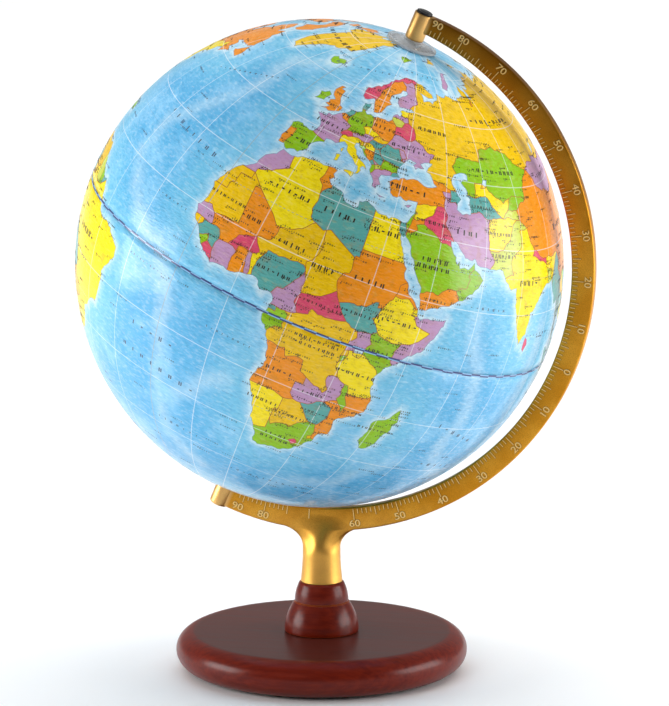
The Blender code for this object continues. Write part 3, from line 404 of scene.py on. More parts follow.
RULED_BORDERS = (
    "-13.6 27.7,-8.7 27.7,-8.7 26,-12 26,-12 23.4,-13 23,-13 21.3,-17.6 21.3",
    "-8.7 27.7,-4.8 25,1.2 21.1,3.2 19.2,4.2 19.1",
    "11.9 23.5,14.2 22.6,15 23,16 23.4,24 19.5,24 20,25 20,25 22,25 32.4", "25 22,37.6 22",
    "-4.8 25,-6.5 25,-5.4 15.5", "11.2 -17.3,14 -17.4,18.4 -17.4", "24 -11,24 -13,22 -13,22 -16.2",
    "21 -18.3,21 -22,20 -22,20 -24.8,20 -28.4", "141 -2.1,141 -9.6", "129 -14.2,129 -26,129 -32.2",
    "138 -16.6,138 -26,141 -26,141 -29,141 -34,141 -38.5", "129 -26,138 -26", "141 -29,149 -29,154 -28.2",
    "141 -34,147 -36,150.4 -37.7", "-141 70.2,-141 60.3,-137.5 58.9", "-125.2 49,-95.2 49,-89 48",
    "-68.6 -52.2,-68.6 -55.6",
)

# One seed in each land, by colour
SEEDS = {
    "yellow": "3 28,29 27,39 9,35 -6,17 -21,2.4 9.5,38.3 35,78 23,66 34,12.5 42.5,64 41,-50 -12,112 -2,"
    "134 -24,-100 40,-64 -34,14 37.5,9 40,14 49.9,133.5 -1.8,121 16",
    "golden": "-13.5 24.5,-10 19,9 17.5,19 14,23 -3,24 -22,60 62,-42 72,-58.5 -22.8,107 15.9,112 -7.2,"
    "-150 65,60 80.8,66 76.6,99 79.6,144 75.4,143 50,-155 66,46 48.6,-65 7",
    "orange": "-3 18,30 16,17 -12,-1 8,36 -15,9.5 35,48 15.5,33 39,19 52,-8 39.5,-2 53,105 33,36 31.3,"
    "-100 58,-75 56,-70 66,-112 71,-122 73,-75 80,-88 75.3,-56 49,36.5 8,120.8 24,109.6 19.2,21 66.5,"
    "-75 -9,140 36.5,143 43.5,131 32.5,-79 22.2,40.5 40.3,174.5 -39,170 -44.5",
    "teal": "17 27,8 9,30 7,30 -19,-12 10.8,25 46,57 39,49 18.6,104 50.9,100 15,-72 4,-102 23,20 44,"
    "-5 13.8,5.4 52.2,-64 -17,122 -1,124.5 8,144 -6,9.5 55.9,16.5 47.5",
    "green": "45 23,25 -29,47 -19,38 0,11.5 -.8,34 -13,68 48,-4 40,10 51,-19 65,-67 -32,95 22,-8 53,"
    "145 -22,34.9 32.3,-56 4,16 79,108 12.5,-71 19,-78 -1,-87 15,57.5 21.5,147 -42.2,102 0,26 42.5",
    "pink": "21 7,43.5 33,-1.5 12.3,-9.3 6.5,28 53.5,9 61,84 28.3,80.8 7.6,-63 -6,102.5 4,54.3 23.4,"
    "-56 -33,124 11.3,27.9 -29.6,117 -26,19.5 47,-70.6 -33,41.2 12.1,9.6 42.2,146 -36.6,8.3 46.8",
    "mauve": "-6 32,45.5 3,12.5 5,32.5 1.5,27 -15,-5.5 7.5,.8 8.4,31 49,2 47,26 63,23.5 41,103 46.5,53 33,"
    "-89.8 15.6,-72 -45,-73.5 18.8,133 -19,142.5 -31,46.3 -1.7,115.8 4.2,140 -5,24 56.8,44.8 40.7,"
    "-80.3 8.3,25 35.2",
    "pale_green": "68 28,47 46,21 41.4,90.3 24,14.5 -2.6,-58.8 4.8,104.8 12.8,43.5 42.2,30.9 -26.8,"
    "70 38.6,24 55,-84.8 13,16.5 47,-73 -9.4",
}
WATER_SEEDS = "-30 0,51 41,50.7 39,60.2 45.3,33 -1,107.4 52.6,-88 47.5,-87 44,18 58,35 43.5,38 21"

# Shallow ridges on the sea floor
RIDGES = (
    "-33 58,-30 50,-32 42,-38 34,-45 26,-44 16,-34 6,-20 0,-14 -10,-13 -22,-12 -34,-10 -46,4 -54",
    "60 14,62 6,67 -4,68 -18,78 -32,96 -46,130 -50", "58 -28,48 -40,30 -50", "88 12,89 -10,90 -28",
    "-105 14,-106 -8,-112 -28,-114 -48", "6 -20,-2 -28,-9 -34", "-17 66,-20 62,-30 58", "5 74,0 80",
)

# Longitude, latitude, number of strokes and their height in degrees
LAND_NAMES = (
    (3, 27.5, 7, 1.3), (17.5, 27.5, 5, 1.4), (29.5, 27.5, 5, 1.3), (-10.5, 19.5, 9, 0.9),
    (-2.5, 18, 4, 1.1), (9.5, 16.5, 5, 1.2), (18.5, 14.5, 4, 1.2), (30, 15.5, 5, 1.3), (8, 9.2, 7, 1.0),
    (20.5, 6.4, 14, 0.8), (30, 7.6, 10, 0.9), (39.5, 8.4, 8, 1.1), (23.5, -1.8, 10, 0.9),
    (23.5, -3.4, 9, 0.9), (17.5, -12, 6, 1.1), (35, -6.2, 8, 1.0), (27, -14.6, 6, 0.9), (37.8, 0.6, 5, 0.9),
    (17, -21, 7, 0.9), (24, -22.5, 8, 0.8), (30, -19.2, 8, 0.7), (36, -16, 10, 0.8), (24, -29.5, 5, 0.9),
    (24, -31, 6, 0.9), (46.8, -19, 10, 0.8), (45, 24.5, 5, 1.2), (45, 22.8, 6, 1.2), (43.6, 33, 4, 1.0),
    (54, 32.6, 4, 1.4), (33.5, 39, 6, 1.3), (48, 15.6, 5, 0.8), (67.5, 48.5, 10, 1.2), (31, 49, 7, 1.0),
    (40, 56, 6, 1.0), (80, 62, 9, 1.4), (-3.6, 39.8, 5, 1.2), (2.4, 47, 6, 1.0), (10, 51, 7, 0.9),
    (19.5, 52.2, 6, 0.9), (15.5, 62.5, 6, 0.9), (79, 22.5, 5, 1.4), (67.5, 28.6, 8, 0.9),
    (66, 33.6, 9, 0.8), (104, 34, 5, 1.6), (103, 46.6, 8, 1.1), (-52, -9, 6, 1.6), (-65, -34, 9, 1.1),
    (-100, 40, 7, 1.6), (-102, 57, 6, 1.6), (-42, 71, 9, 1.4), (134, -25, 9, 1.5), (-72, 3.4, 8, 0.9),
    (-75, -9, 4, 1.1), (-102, 24, 6, 1.1), (58.5, 39.4, 9, 0.7),
)
# The same, with how steeply each row climbs
SEA_NAMES = (
    (-32, 27, 8, 1.7, -0.1), (-15, -19, 5, 1.7, 0.0), (-12, -27, 8, 1.7, -0.1), (72, -17, 6, 1.6, -0.3),
    (76, -28, 5, 1.6, -0.1), (64, 16, 7, 1.0, 0.0), (19, 34.4, 12, 0.7, 0.0), (-4, -42, 7, 1.0, 0.0),
    (4, -9.5, 9, 0.8, 0.0), (-24, 12, 8, 0.8, 0.0), (-22, -4, 12, 0.7, 0.0), (38.5, 20, 5, 0.6, -1.6),
    (-150, 12, 7, 2.0, 0.0), (-130, -20, 7, 2.0, 0.0), (160, 22, 7, 1.8, 0.0), (30, -48, 12, 0.9, 0.1),
    (0, 68, 9, 0.9, 0.4), (-38, 47, 12, 0.8, 0.5), (38, 74, 7, 0.8, 0.0), (88, 10, 8, 1.0, 0.0),
)


# Shading helpers


def node(tree, kind, inputs=(), **settings):
    """Adds a shader node. An input takes a plain value, or another node's output."""
    made = tree.nodes.new("ShaderNode" + kind)
    for name, value in settings.items():
        setattr(made, name, value)
    for key, value in dict(inputs).items():
        if isinstance(value, bpy.types.NodeSocket):
            tree.links.new(value, made.inputs[key])
        else:
            made.inputs[key].default_value = value
    return made


def calc(tree, operation, first, second=0.0):
    return node(tree, "Math", {0: first, 1: second}, operation=operation).outputs[0]


def times(tree, first, second):
    return calc(tree, "MULTIPLY", first, second)


def rest_of(tree, value):
    """One minus the value."""
    return calc(tree, "SUBTRACT", 1.0, value)


def axes_of(tree, vector):
    """The x, y and z outputs of a vector."""
    return node(tree, "SeparateXYZ", {0: vector}).outputs


def mix(tree, share, first, second):
    """Blends two colours, each a plain colour or an output."""
    full = [(*c, 1.0) if isinstance(c, tuple) else c for c in (first, second)]
    return node(tree, "Mix", {0: share, 6: full[0], 7: full[1]}, data_type="RGBA").outputs[2]


def wash(tree, colour, where, strength, tint):
    """Lays a tint over a colour, at the given strength where the mask is full."""
    return mix(tree, times(tree, where, strength), colour, tint)


def step(tree, value, low, high):
    """Rises smoothly from 0 at low to 1 at high."""
    made = node(tree, "MapRange", {0: value, 1: low, 2: high}, interpolation_type="SMOOTHSTEP")
    return made.outputs[0]


def spread(tree, value, low, high, first=0.0, last=1.0):
    """Maps first to low and last to high, in a straight line."""
    return node(tree, "MapRange", {0: value, 1: first, 2: last, 3: low, 4: high}).outputs[0]


def noise(tree, place, scale, detail=3.0, roughness=0.5):
    made = node(tree, "TexNoise", {"Vector": place, "Scale": scale, "Detail": detail, "Roughness": roughness})
    return made.outputs[0]


def stretched(tree, place, scale):
    return node(tree, "Mapping", {"Vector": place, "Scale": scale}).outputs[0]


def streaks(tree, place, scales, detail, roughness):
    """Noise with its own fineness along each axis."""
    return noise(tree, stretched(tree, place, scales), 1.0, detail, roughness)


def bump(tree, height, strength, distance, normal=None):
    inputs = {"Height": height, "Strength": strength, "Distance": distance}
    if normal:
        inputs["Normal"] = normal
    return node(tree, "Bump", inputs).outputs[0]


def rounded_normal(tree, radius):
    return node(tree, "Bevel", {"Radius": radius}, samples=4).outputs[0]


def openness(tree, reach):
    """1 on open surfaces, and less in hollows, where it is used to paint shade."""
    return node(tree, "AmbientOcclusion", {"Distance": reach}, samples=6).outputs["AO"]


def finish(name, **plain):
    """A material, its node tree, its main shader and the object's own coordinates."""
    made = bpy.data.materials.new(name)
    made.use_nodes = True
    tree = made.node_tree
    shader = tree.nodes["Principled BSDF"]
    for key, value in plain.items():
        shader.inputs[key.replace("_", " ").title().replace("Ior", "IOR")].default_value = value
    place = node(tree, "TexCoord").outputs["Object"]
    return made, tree, shader, place


def ball_place(tree, place):
    """The ball's own upright coordinates, from the object's."""
    moved = node(tree, "VectorMath", {0: place, 1: BALL_CENTRE}, operation="SUBTRACT").outputs[0]
    turn = {"Vector": moved, "Axis": (0.0, 1.0, 0.0), "Angle": -TILT}
    return node(tree, "VectorRotate", turn, rotation_type="AXIS_ANGLE").outputs[0]


def shade(tree, shader, colour, roughness=None, normal=None):
    for key, value in (("Base Color", colour), ("Roughness", roughness), ("Normal", normal)):
        if value is not None:
            tree.links.new(value, shader.inputs[key])


# Modelling helpers


def piece_from(name, bm, material, matrix=None, sharp=35.0):
    """An object from a bmesh, moved to its place, smooth but for edges sharper than the angle."""
    bmesh.ops.recalc_face_normals(bm, faces=bm.faces)
    mesh = bpy.data.meshes.new(name)
    bm.to_mesh(mesh)
    bm.free()
    if matrix:
        mesh.transform(matrix)
    mesh.shade_smooth()
    mesh.set_sharp_from_angle(angle=math.radians(sharp))
    if material:
        mesh.materials.append(material)
    obj = bpy.data.objects.new(name, mesh)
    bpy.context.scene.collection.objects.link(obj)
    return obj


def turned(name, profile, segments, material=None, matrix=None, sharp=35.0):
    """Spins (radius, height) points about Z. A profile that starts off the axis is a closed ring."""
    bm = bmesh.new()
    verts = [bm.verts.new((radius, 0.0, height)) for radius, height in profile]
    edges = [bm.edges.new(pair) for pair in zip(verts, verts[1:])]
    if profile[0][0] > 0.0:
        edges.append(bm.edges.new((verts[-1], verts[0])))
    bmesh.ops.spin(bm, geom=verts + edges, cent=(0, 0, 0), axis=(0, 0, 1), angle=math.tau, steps=segments)
    bmesh.ops.remove_doubles(bm, verts=bm.verts, dist=0.001 * MM)
    return piece_from(name, bm, material, matrix, sharp)


def swept(name, stations, matrix):
    """Joins a row of closed sections, each a list of points in the same order, and caps both ends."""
    bm = bmesh.new()
    rows = [[bm.verts.new(point) for point in section] for section in stations]
    count = len(rows[0])
    for near, far in zip(rows, rows[1:]):
        for k in range(count):
            after = (k + 1) % count
            bm.faces.new((near[k], near[after], far[after], far[k]))
    bm.faces.new(rows[0])
    bm.faces.new(rows[-1])
    return piece_from(name, bm, None, matrix)


def add_box(bm, corners, layer=None, colour=None):
    """Six faces over eight corners, which are counted like the bits of 0 to 7."""
    v = [bm.verts.new(corner) for corner in corners]
    for side in ((0, 1, 3, 2), (4, 6, 7, 5), (0, 4, 5, 1), (2, 3, 7, 6), (0, 2, 6, 4), (1, 5, 7, 3)):
        face = bm.faces.new([v[k] for k in side])
        if layer is not None:
            for loop in face.loops:
                loop[layer] = (*colour, 1.0)


def arc(centre, radii, start, end, steps):
    """Points on an elliptical arc in the (radius, height) plane, angles in degrees from +radius."""
    angles = [math.radians(start + (end - start) * k / steps) for k in range(steps + 1)]
    return [(centre[0] + radii[0] * math.cos(a), centre[1] + radii[1] * math.sin(a)) for a in angles]


def in_mm(points, base):
    """(radius, height) points in millimetres, with heights from a base in metres."""
    return [(radius * MM, base + height * MM) for radius, height in points]


def upright(degrees):
    """The direction at a latitude, in the plane of the arm."""
    return Vector((math.cos(math.radians(degrees)), 0.0, math.sin(math.radians(degrees))))


def clamped(value, low=0.0, high=1.0):
    return min(max(value, low), high)


def fit(piece, body, slot, *nodes):
    """Puts a piece on its body, in place of CAD nodes. The slot is not used."""
    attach(piece, body)
    if nodes:
        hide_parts(*nodes)
    return piece


# The map


def points_of(text):
    return [tuple(float(x) for x in pair.split()) for pair in text.split(",")]


def roughened(points, draw, amount, longest=1.3):
    """Breaks long stretches up, and pushes each middle point aside, as on a real coast."""
    made = [points[0]]
    for a, b in zip(points, points[1:]):
        across = (b[0] - a[0], b[1] - a[1])
        span = math.hypot(across[0] * math.cos(math.radians(a[1])), across[1])
        if span > longest:
            push = draw.uniform(-amount, amount)
            middle = ((a[0] + b[0]) / 2 - across[1] * push, (a[1] + b[1]) / 2 + across[0] * push)
            made += roughened([a, middle, b], draw, amount, longest)[1:]
        else:
            made.append(b)
    return made


def on_ball(longitude, latitude, radius):
    """A map point on the ball, in the ball's own frame."""
    turn = math.radians(longitude - FACING - 90.0)
    lift = math.radians(latitude)
    return Vector((math.cos(lift) * math.cos(turn), math.cos(lift) * math.sin(turn), math.sin(lift))) * radius


class FlatMap:
    """The map as triangles in longitude and latitude, each with the land that it belongs to."""

    def __init__(self):
        self.points = []
        self.edges = []
        self.barriers = set()
        self.index = {}
        draw = random.Random(11)
        coasts = [points_of(text) for text in COASTS.values()]
        for ring in coasts:
            self.line(roughened(ring + ring[:1], draw, COAST_ROUGHNESS))
        self.line(roughened(points_of(ICE_EDGE), draw, ICE_ROUGHNESS))
        for texts, amount in ((BORDERS, BORDER_ROUGHNESS), (RULED_BORDERS, 0.0)):
            for text in texts:
                self.line(roughened(points_of(text), draw, amount))
        self.frame_and_grid(draw)
        self.solve()
        self.colour_lands()

    def place(self, point):
        key = (round(point[0], 4), round(point[1], 4))
        if key not in self.index:
            self.index[key] = len(self.points)
            self.points.append(Vector(key))
        return self.index[key]

    def line(self, points, barrier=True):
        places = [self.place(point) for point in points]
        for pair in zip(places, places[1:]):
            if pair[0] != pair[1]:
                if barrier:
                    self.barriers.add(len(self.edges))
                self.edges.append(pair)

    def frame_and_grid(self, draw):
        """The map's own edges, the equator, and loose points that keep the ball round."""
        rows = [k * ROW_GAP for k in range(-44, 45)]
        rows = [-POLE_HOLE, *rows[1:-1], POLE_HOLE]
        for side in (SEAM_LONGITUDE, SEAM_LONGITUDE + 360.0):
            self.line([(side, row) for row in rows], False)
        for row in rows:
            count = max(24, int(180 * math.cos(math.radians(row))))
            across = [(SEAM_LONGITUDE + 360.0 * k / count, row) for k in range(count + 1)]
            if row in (-POLE_HOLE, 0.0, POLE_HOLE):
                self.line(across, False)
            else:
                for point in across[1:-1]:
                    self.place(point)
        known = list(self.points)
        for point in known[: len(known) // 2 : 2]:
            angle = draw.uniform(0.0, math.tau)
            self.place((point.x + SCATTER * math.cos(angle), point.y + SCATTER * math.sin(angle)))

    def solve(self):
        """Triangulates the map, and finds which triangles meet with no coast or border between them."""
        east = SEAM_LONGITUDE + 360.0
        self.points = [
            Vector((clamped(point.x, SEAM_LONGITUDE, east), clamped(point.y, -POLE_HOLE, POLE_HOLE)))
            for point in self.points
        ]
        made = geometry.delaunay_2d_cdt(self.points, self.edges, [], 0, 1e-5, True)
        self.verts, edges, self.faces, _, origins, _ = made
        walls = {
            tuple(sorted(edge)) for edge, came in zip(edges, origins) if any(o in self.barriers for o in came)
        }
        self.sides = {}
        for k, face in enumerate(self.faces):
            for pair in zip(face, face[1:] + face[:1]):
                self.sides.setdefault(tuple(sorted(pair)), []).append(k)
        self.next_to = [[] for _ in self.faces]
        for pair, near in self.sides.items():
            if pair not in walls and len(near) == 2:
                self.next_to[near[0]].append(near[1])
                self.next_to[near[1]].append(near[0])

    def colour_lands(self):
        """Marks each triangle with its land's number, 0 for water, and its colour."""
        self.land = [None] * len(self.faces)
        for point in points_of(WATER_SEEDS):
            self.flood(point, (0, "sea"))
        count = 1
        for colour, text in SEEDS.items():
            for point in points_of(text):
                self.flood(point, (count, colour))
                count += 1
        for k in range(len(self.faces)):
            if self.land[k] is None:
                x, y = self.middle(k)
                in_greenland = y > 59 and -74 < x < -10 and not (x > -26 and y < 68)
                icy = y < -60 or in_greenland or y > 79
                self.fill(k, (count, "ice" if icy else SPARE_COLOURS[count % len(SPARE_COLOURS)]))
                count += 1

    def middle(self, k):
        a, b, c = (self.verts[v] for v in self.faces[k])
        return (a.x + b.x + c.x) / 3.0, (a.y + b.y + c.y) / 3.0

    def flood(self, point, mark):
        """Marks the land around a point, unless it has a mark."""
        for k, face in enumerate(self.faces):
            a, b, c = (self.verts[v] for v in face)
            if min(a.x, b.x, c.x) <= point[0] <= max(a.x, b.x, c.x):
                if geometry.intersect_point_tri_2d(Vector(point), a, b, c):
                    if self.land[k] is None:
                        self.fill(k, mark)
                    return

    def fill(self, start, mark):
        self.land[start] = mark
        waiting = [start]
        while waiting:
            for k in self.next_to[waiting.pop()]:
                if self.land[k] is None:
                    self.land[k] = mark
                    waiting.append(k)

    def boundaries(self):
        """Each side between two lands, or between land and water, with both numbers."""
        for pair, near in self.sides.items():
            if len(near) == 2:
                numbers = [self.land[k][0] for k in near]
                if numbers[0] != numbers[1]:
                    yield pair, numbers


def blend_of(first, second, share):
    return tuple(a + (b - a) * share for a, b in zip(first, second))


def sea_colours(flat):
    """Each point's sea colour: pale on the shelves and the ridges, deep between them."""
    shore = [tuple(flat.verts[v]) for pair, numbers in flat.boundaries() if 0 in numbers for v in pair]
    ridge = [point for text in RIDGES for point in roughened(points_of(text), random.Random(3), 0.15)]
    trees = []
    for spots in (shore, ridge):
        tree = kdtree.KDTree(len(spots))
        for k, spot in enumerate(spots):
            tree.insert(on_ball(*spot, 1.0), k)
        tree.balance()
        trees.append(tree)
    made = []
    for vert in flat.verts:
        place = on_ball(vert.x, vert.y, 1.0)
        off_shore, off_ridge = (math.degrees(tree.find(place)[2]) for tree in trees)
        colour = blend_of(SHALLOW, MIDDLE, min(off_shore / SHELF_WIDTH, 1.0) ** 0.7)
        colour = blend_of(colour, DEEP, clamped((off_shore - DEEP_FROM) / (DEEP_FULL - DEEP_FROM)) * 0.75)
        made.append(blend_of(colour, SHALLOW, 0.45 * max(0.0, 1.0 - off_ridge / RIDGE_WIDTH)))
    return made


def half_ball(name, flat, seas, side, material):
    """The printed shell of one half, with its thickness, coloured land by land."""
    bm = bmesh.new()
    mesh_verts = {}
    layer = bm.loops.layers.float_color.new("print")
    for k, face in enumerate(flat.faces):
        if flat.middle(k)[1] * side <= 0.0:
            continue
        corners = []
        for v in face:
            if v not in mesh_verts:
                mesh_verts[v] = bm.verts.new(on_ball(*flat.verts[v], BALL_RADIUS))
            corners.append(mesh_verts[v])
        made = bm.faces.new(corners)
        number, colour = flat.land[k]
        for loop, v in zip(made.loops, face):
            loop[layer] = (*seas[v], 0.0) if number == 0 else (*COLOURS[colour], 1.0)
    bmesh.ops.remove_doubles(bm, verts=bm.verts, dist=0.002 * MM)
    obj = piece_from(name, bm, material, TO_BALL, sharp=60.0)
    shell = obj.modifiers.new("shell", "SOLIDIFY")
    shell.thickness = SHELL_THICKNESS
    shell.offset = -1.0
    return obj


def add_strip(bm, layer, start, end, width, colour):
    """A thin printed stroke on the ball, from one map point to another, sunk a little and proud a little."""
    a = on_ball(*start, 1.0)
    b = on_ball(*end, 1.0)
    along = (b - a).normalized()
    corners = []
    for radius in (BALL_RADIUS - 0.12 * MM, BALL_RADIUS + 0.05 * MM):
        for place, push in ((a, -1.0), (b, 1.0)):
            centre = (place + along * push * 0.15 * width / BALL_RADIUS).normalized() * radius
            side = centre.cross(along).normalized() * width / 2.0
            corners += [centre - side, centre + side]
    add_box(bm, corners, layer, colour)


def map_lines(flat, material):
    """Land borders and coast lines."""
    bm = bmesh.new()
    layer = bm.loops.layers.float_color.new("print")
    for pair, numbers in flat.boundaries():
        width, colour = (0.28 * MM, COAST_INK) if 0 in numbers else (0.40 * MM, BORDER_INK)
        add_strip(bm, layer, *(tuple(flat.verts[v]) for v in pair), width, colour)
    return piece_from("map_borders", bm, material, TO_BALL)


def map_marks(flat, material):
    """Place names as rows of plain strokes, not letters, with a short dash for each town."""
    bm = bmesh.new()
    layer = bm.loops.layers.float_color.new("print")
    draw = random.Random(23)

    def row(longitude, latitude, strokes, size, colour, slope=0.0, loose=1.15):
        stretch = 1.0 / max(math.cos(math.radians(latitude)), 0.3)
        for k in range(strokes):
            away = (k - strokes / 2) * size * loose
            x = longitude + away * stretch
            y = latitude + away * slope
            kind = draw.choice(("tall", "pair", "dash", "tall", "pair"))
            thick = size * 0.64 * MM
            if kind == "dash":
                half = size * 0.2 * stretch
                add_strip(bm, layer, (x - half, y), (x + half, y), thick, colour)
            for push in {"tall": (0.0,), "pair": (-0.2, 0.2)}.get(kind, ()):
                tall = size * draw.uniform(0.24, 0.40)
                at = x + push * size * stretch
                add_strip(bm, layer, (at, y - tall), (at, y + tall), thick, colour)

    for longitude, latitude, strokes, size in LAND_NAMES:
        row(longitude, latitude, strokes, size * 1.1, INK)
    for longitude, latitude, strokes, size, slope in SEA_NAMES:
        row(longitude, latitude, strokes, size * 0.8, SEA_INK, slope, 2.2)
    grown = [k for k, mark in enumerate(flat.land) if mark[0] != 0 and mark[1] != "ice"]
    for k in draw.sample(grown, min(TOWNS, len(grown))):
        x, y = flat.middle(k)
        add_strip(bm, layer, (x - 0.12, y), (x + 0.12, y), 0.6 * MM, INK)
        row(x + 1.6, y + 0.4, draw.randint(4, 7), SMALL_PRINT, INK)
    wet = [k for k, mark in enumerate(flat.land) if mark[0] == 0]
    for k in draw.sample(wet, min(SEA_NOTES, len(wet))):
        x, y = flat.middle(k)
        row(x, y, draw.randint(4, 8), SMALL_PRINT, SEA_INK)
    return piece_from("map_names", bm, material, TO_BALL)


# Materials


def printed_lines(tree, place):
    """Where the white grid, one dark meridian and the dashed tropics are printed."""
    axes = axes_of(tree, place)
    turn = calc(tree, "DEGREES", calc(tree, "ARCTAN2", axes[1], axes[0]))
    longitude = calc(tree, "ADD", turn, FACING + 90.0 + 360.0)
    lift = calc(tree, "ARCSINE", calc(tree, "DIVIDE", axes[2], BALL_RADIUS))
    latitude = calc(tree, "ADD", calc(tree, "DEGREES", lift), 90.0)
    narrowing = calc(tree, "COSINE", lift)
    lines = []
    for angle, share in ((longitude, narrowing), (latitude, 1.0)):
        off = calc(tree, "PINGPONG", angle, GRID_STEP / 2.0)
        lines.append(rest_of(tree, step(tree, times(tree, off, share), 0.05, 0.14)))
    grid = calc(tree, "MAXIMUM", *lines)
    off = calc(tree, "ABSOLUTE", calc(tree, "SUBTRACT", longitude, DARK_MERIDIAN + 360.0))
    meridian = rest_of(tree, step(tree, times(tree, off, narrowing), 0.05, 0.12))
    off = calc(tree, "ABSOLUTE", calc(tree, "SUBTRACT", calc(tree, "ABSOLUTE", lift), math.radians(TROPIC)))
    dashes = calc(tree, "GREATER_THAN", calc(tree, "PINGPONG", longitude, 0.6), 0.25)
    tropics = times(tree, rest_of(tree, step(tree, off, 0.0008, 0.0020)), dashes)
    return grid, meridian, tropics


def printed_map():
    """Glossy print: the land and sea colours, white graticule, and a fine pressed relief under the gloss,
    with painted highlights on its crests and painted shade in its hollows.
    """
    made, tree, shader, place = finish(
        "printed_map", roughness=0.5, coat_weight=0.6, coat_roughness=0.13, specular_ior_level=0.05
    )
    place = ball_place(tree, place)
    grid, meridian, tropics = printed_lines(tree, place)
    printed = node(tree, "VertexColor", layer_name="print").outputs
    plain, land = printed["Color"], printed["Alpha"]
    swell = noise(tree, place, 34.0, 6.0, 0.62)
    hills = noise(tree, place, 95.0, 7.0, 0.7)
    ripple = streaks(tree, place, (160.0, 160.0, 420.0), 5.0, 0.65)
    weave = streaks(tree, place, (260.0, 260.0, 820.0), 2.5, 0.55)
    sea = mix(tree, step(tree, swell, 0.46, 0.72), plain, (0.26, 0.60, 0.88))
    sea = wash(tree, sea, step(tree, ripple, 0.50, 0.80), 0.34, (0.60, 0.84, 0.97))
    sea = wash(tree, sea, rest_of(tree, step(tree, ripple, 0.24, 0.48)), 0.30, (0.03, 0.25, 0.62))
    sea = mix(tree, 0.90, plain, sea)
    ground = wash(tree, plain, step(tree, hills, 0.50, 0.70), 0.34, (0.42, 0.20, 0.03))
    ground = wash(tree, ground, step(tree, ripple, 0.52, 0.74), 0.16, (0.98, 0.86, 0.30))
    colour = mix(tree, land, sea, ground)
    # Painted highlight: pale streaks on the crests of the fine relief, fainter on land.
    crest_highlight_strength = calc(tree, "SUBTRACT", 0.18, times(tree, land, 0.14))
    colour = wash(tree, colour, step(tree, weave, 0.50, 0.72), crest_highlight_strength, (0.94, 0.97, 0.98))
    # Painted shade: a darker tint in the hollows of the fine relief.
    hollow_shade_tint = mix(tree, land, (0.02, 0.17, 0.42), (0.30, 0.12, 0.005))
    colour = wash(tree, colour, rest_of(tree, step(tree, weave, 0.30, 0.47)), 0.20, hollow_shade_tint)
    colour = wash(tree, colour, tropics, 0.5, (0.16, 0.30, 0.50))
    colour = wash(tree, colour, grid, 0.50, (0.86, 0.93, 0.97))
    colour = wash(tree, colour, meridian, 0.55, (0.10, 0.13, 0.20))
    height = calc(tree, "ADD", times(tree, hills, 0.6), times(tree, weave, 0.6))
    shade(tree, shader, colour, spread(tree, ripple, 0.34, 0.52), bump(tree, height, 1.0, 1.1 * MM))
    tree.links.new(bump(tree, height, 0.4, 0.4 * MM), shader.inputs["Coat Normal"])
    return made


def printed_ink():
    """Thin ink in the colour that each stroke carries, faded here and there."""
    made, tree, shader, place = finish(
        "printed_ink", roughness=0.5, coat_weight=0.6, coat_roughness=0.12, specular_ior_level=0.12
    )
    plain = node(tree, "VertexColor", layer_name="print").outputs["Color"]
    shade(tree, shader, wash(tree, plain, noise(tree, place, 900.0, 2.0), 0.12, (0.45, 0.36, 0.25)))
    return made


def seam_print():
    """The equator: dark dashes in two rows that take turns, joined by a thin line, over the pale sea."""
    made, tree, shader, place = finish("equator_print", roughness=0.5, coat_weight=0.8, coat_roughness=0.12)
    place = ball_place(tree, place)
    axes = axes_of(tree, place)
    turn = calc(tree, "DEGREES", calc(tree, "ARCTAN2", axes[1], axes[0]))
    above = calc(tree, "GREATER_THAN", axes[2], 0.0)
    count = calc(tree, "ADD", calc(tree, "FLOOR", calc(tree, "DIVIDE", turn, EQUATOR_DASH)), above)
    dash = calc(tree, "GREATER_THAN", calc(tree, "PINGPONG", count, 1.0), 0.5)
    middle = calc(tree, "LESS_THAN", calc(tree, "ABSOLUTE", axes[2]), 0.14 * MM)
    ink = mix(tree, times(tree, noise(tree, place, 700.0), 0.15), (0.006, 0.018, 0.15), (0.10, 0.16, 0.45))
    shade(tree, shader, mix(tree, calc(tree, "MAXIMUM", dash, middle), (0.22, 0.47, 0.76), ink))
    return made


def gold_lacquer():
    """Satin antique gold over a fine-grained casting, with painted highlights at the foot and the barrel, and
    painted shade up the arm and in its hollows.
    """
    made, tree, shader, place = finish("gold_lacquer", metallic=1.0)
    speckle = noise(tree, place, 2300.0, 2.0, 0.6)
    cloud = noise(tree, place, 40.0, 4.0, 0.6)
    height = axes_of(tree, place)[2]
    ball_axes = axes_of(tree, ball_place(tree, place))
    off_axis = node(tree, "CombineXYZ", {0: ball_axes[0], 1: ball_axes[1]}).outputs[0]
    off_axis = node(tree, "VectorMath", {0: off_axis}, operation="LENGTH").outputs["Value"]
    off_barrel = step(tree, off_axis, BARREL_RADIUS + 0.2 * MM, BARREL_RADIUS + 2.5 * MM)
    colour = mix(tree, step(tree, cloud, 0.35, 0.68), (0.66, 0.28, 0.018), (0.82, 0.40, 0.040))
    colour = wash(tree, colour, step(tree, speckle, 0.40, 0.68), 0.45, (0.33, 0.12, 0.007))
    # Painted highlight: paler gold on and near the barrel.
    colour = wash(tree, colour, rest_of(tree, off_barrel), 0.5, (0.92, 0.66, 0.30))
    # Painted shade: darker up the arm, away from the barrel, for the dark surroundings that the arm reflects.
    upper_painted_shade = times(tree, step(tree, height, 0.24, 0.42), off_barrel)
    colour = wash(tree, colour, upper_painted_shade, 0.66, (0.19, 0.066, 0.003))
    # Painted highlight: paler gold low on the stem.
    colour = wash(tree, colour, rest_of(tree, step(tree, height, 0.065, 0.115)), 0.45, (0.86, 0.54, 0.17))
    # Painted shade: darker in hollows and where parts meet.
    colour = mix(tree, step(tree, openness(tree, 1.2 * MM), 0.45, 0.95), (0.10, 0.042, 0.005), colour)
    rough = spread(tree, speckle, 0.34, 0.50, 0.3, 0.7)
    shade(tree, shader, colour, rough, bump(tree, speckle, 0.22, 0.05 * MM, rounded_normal(tree, 0.5 * MM)))
    return made


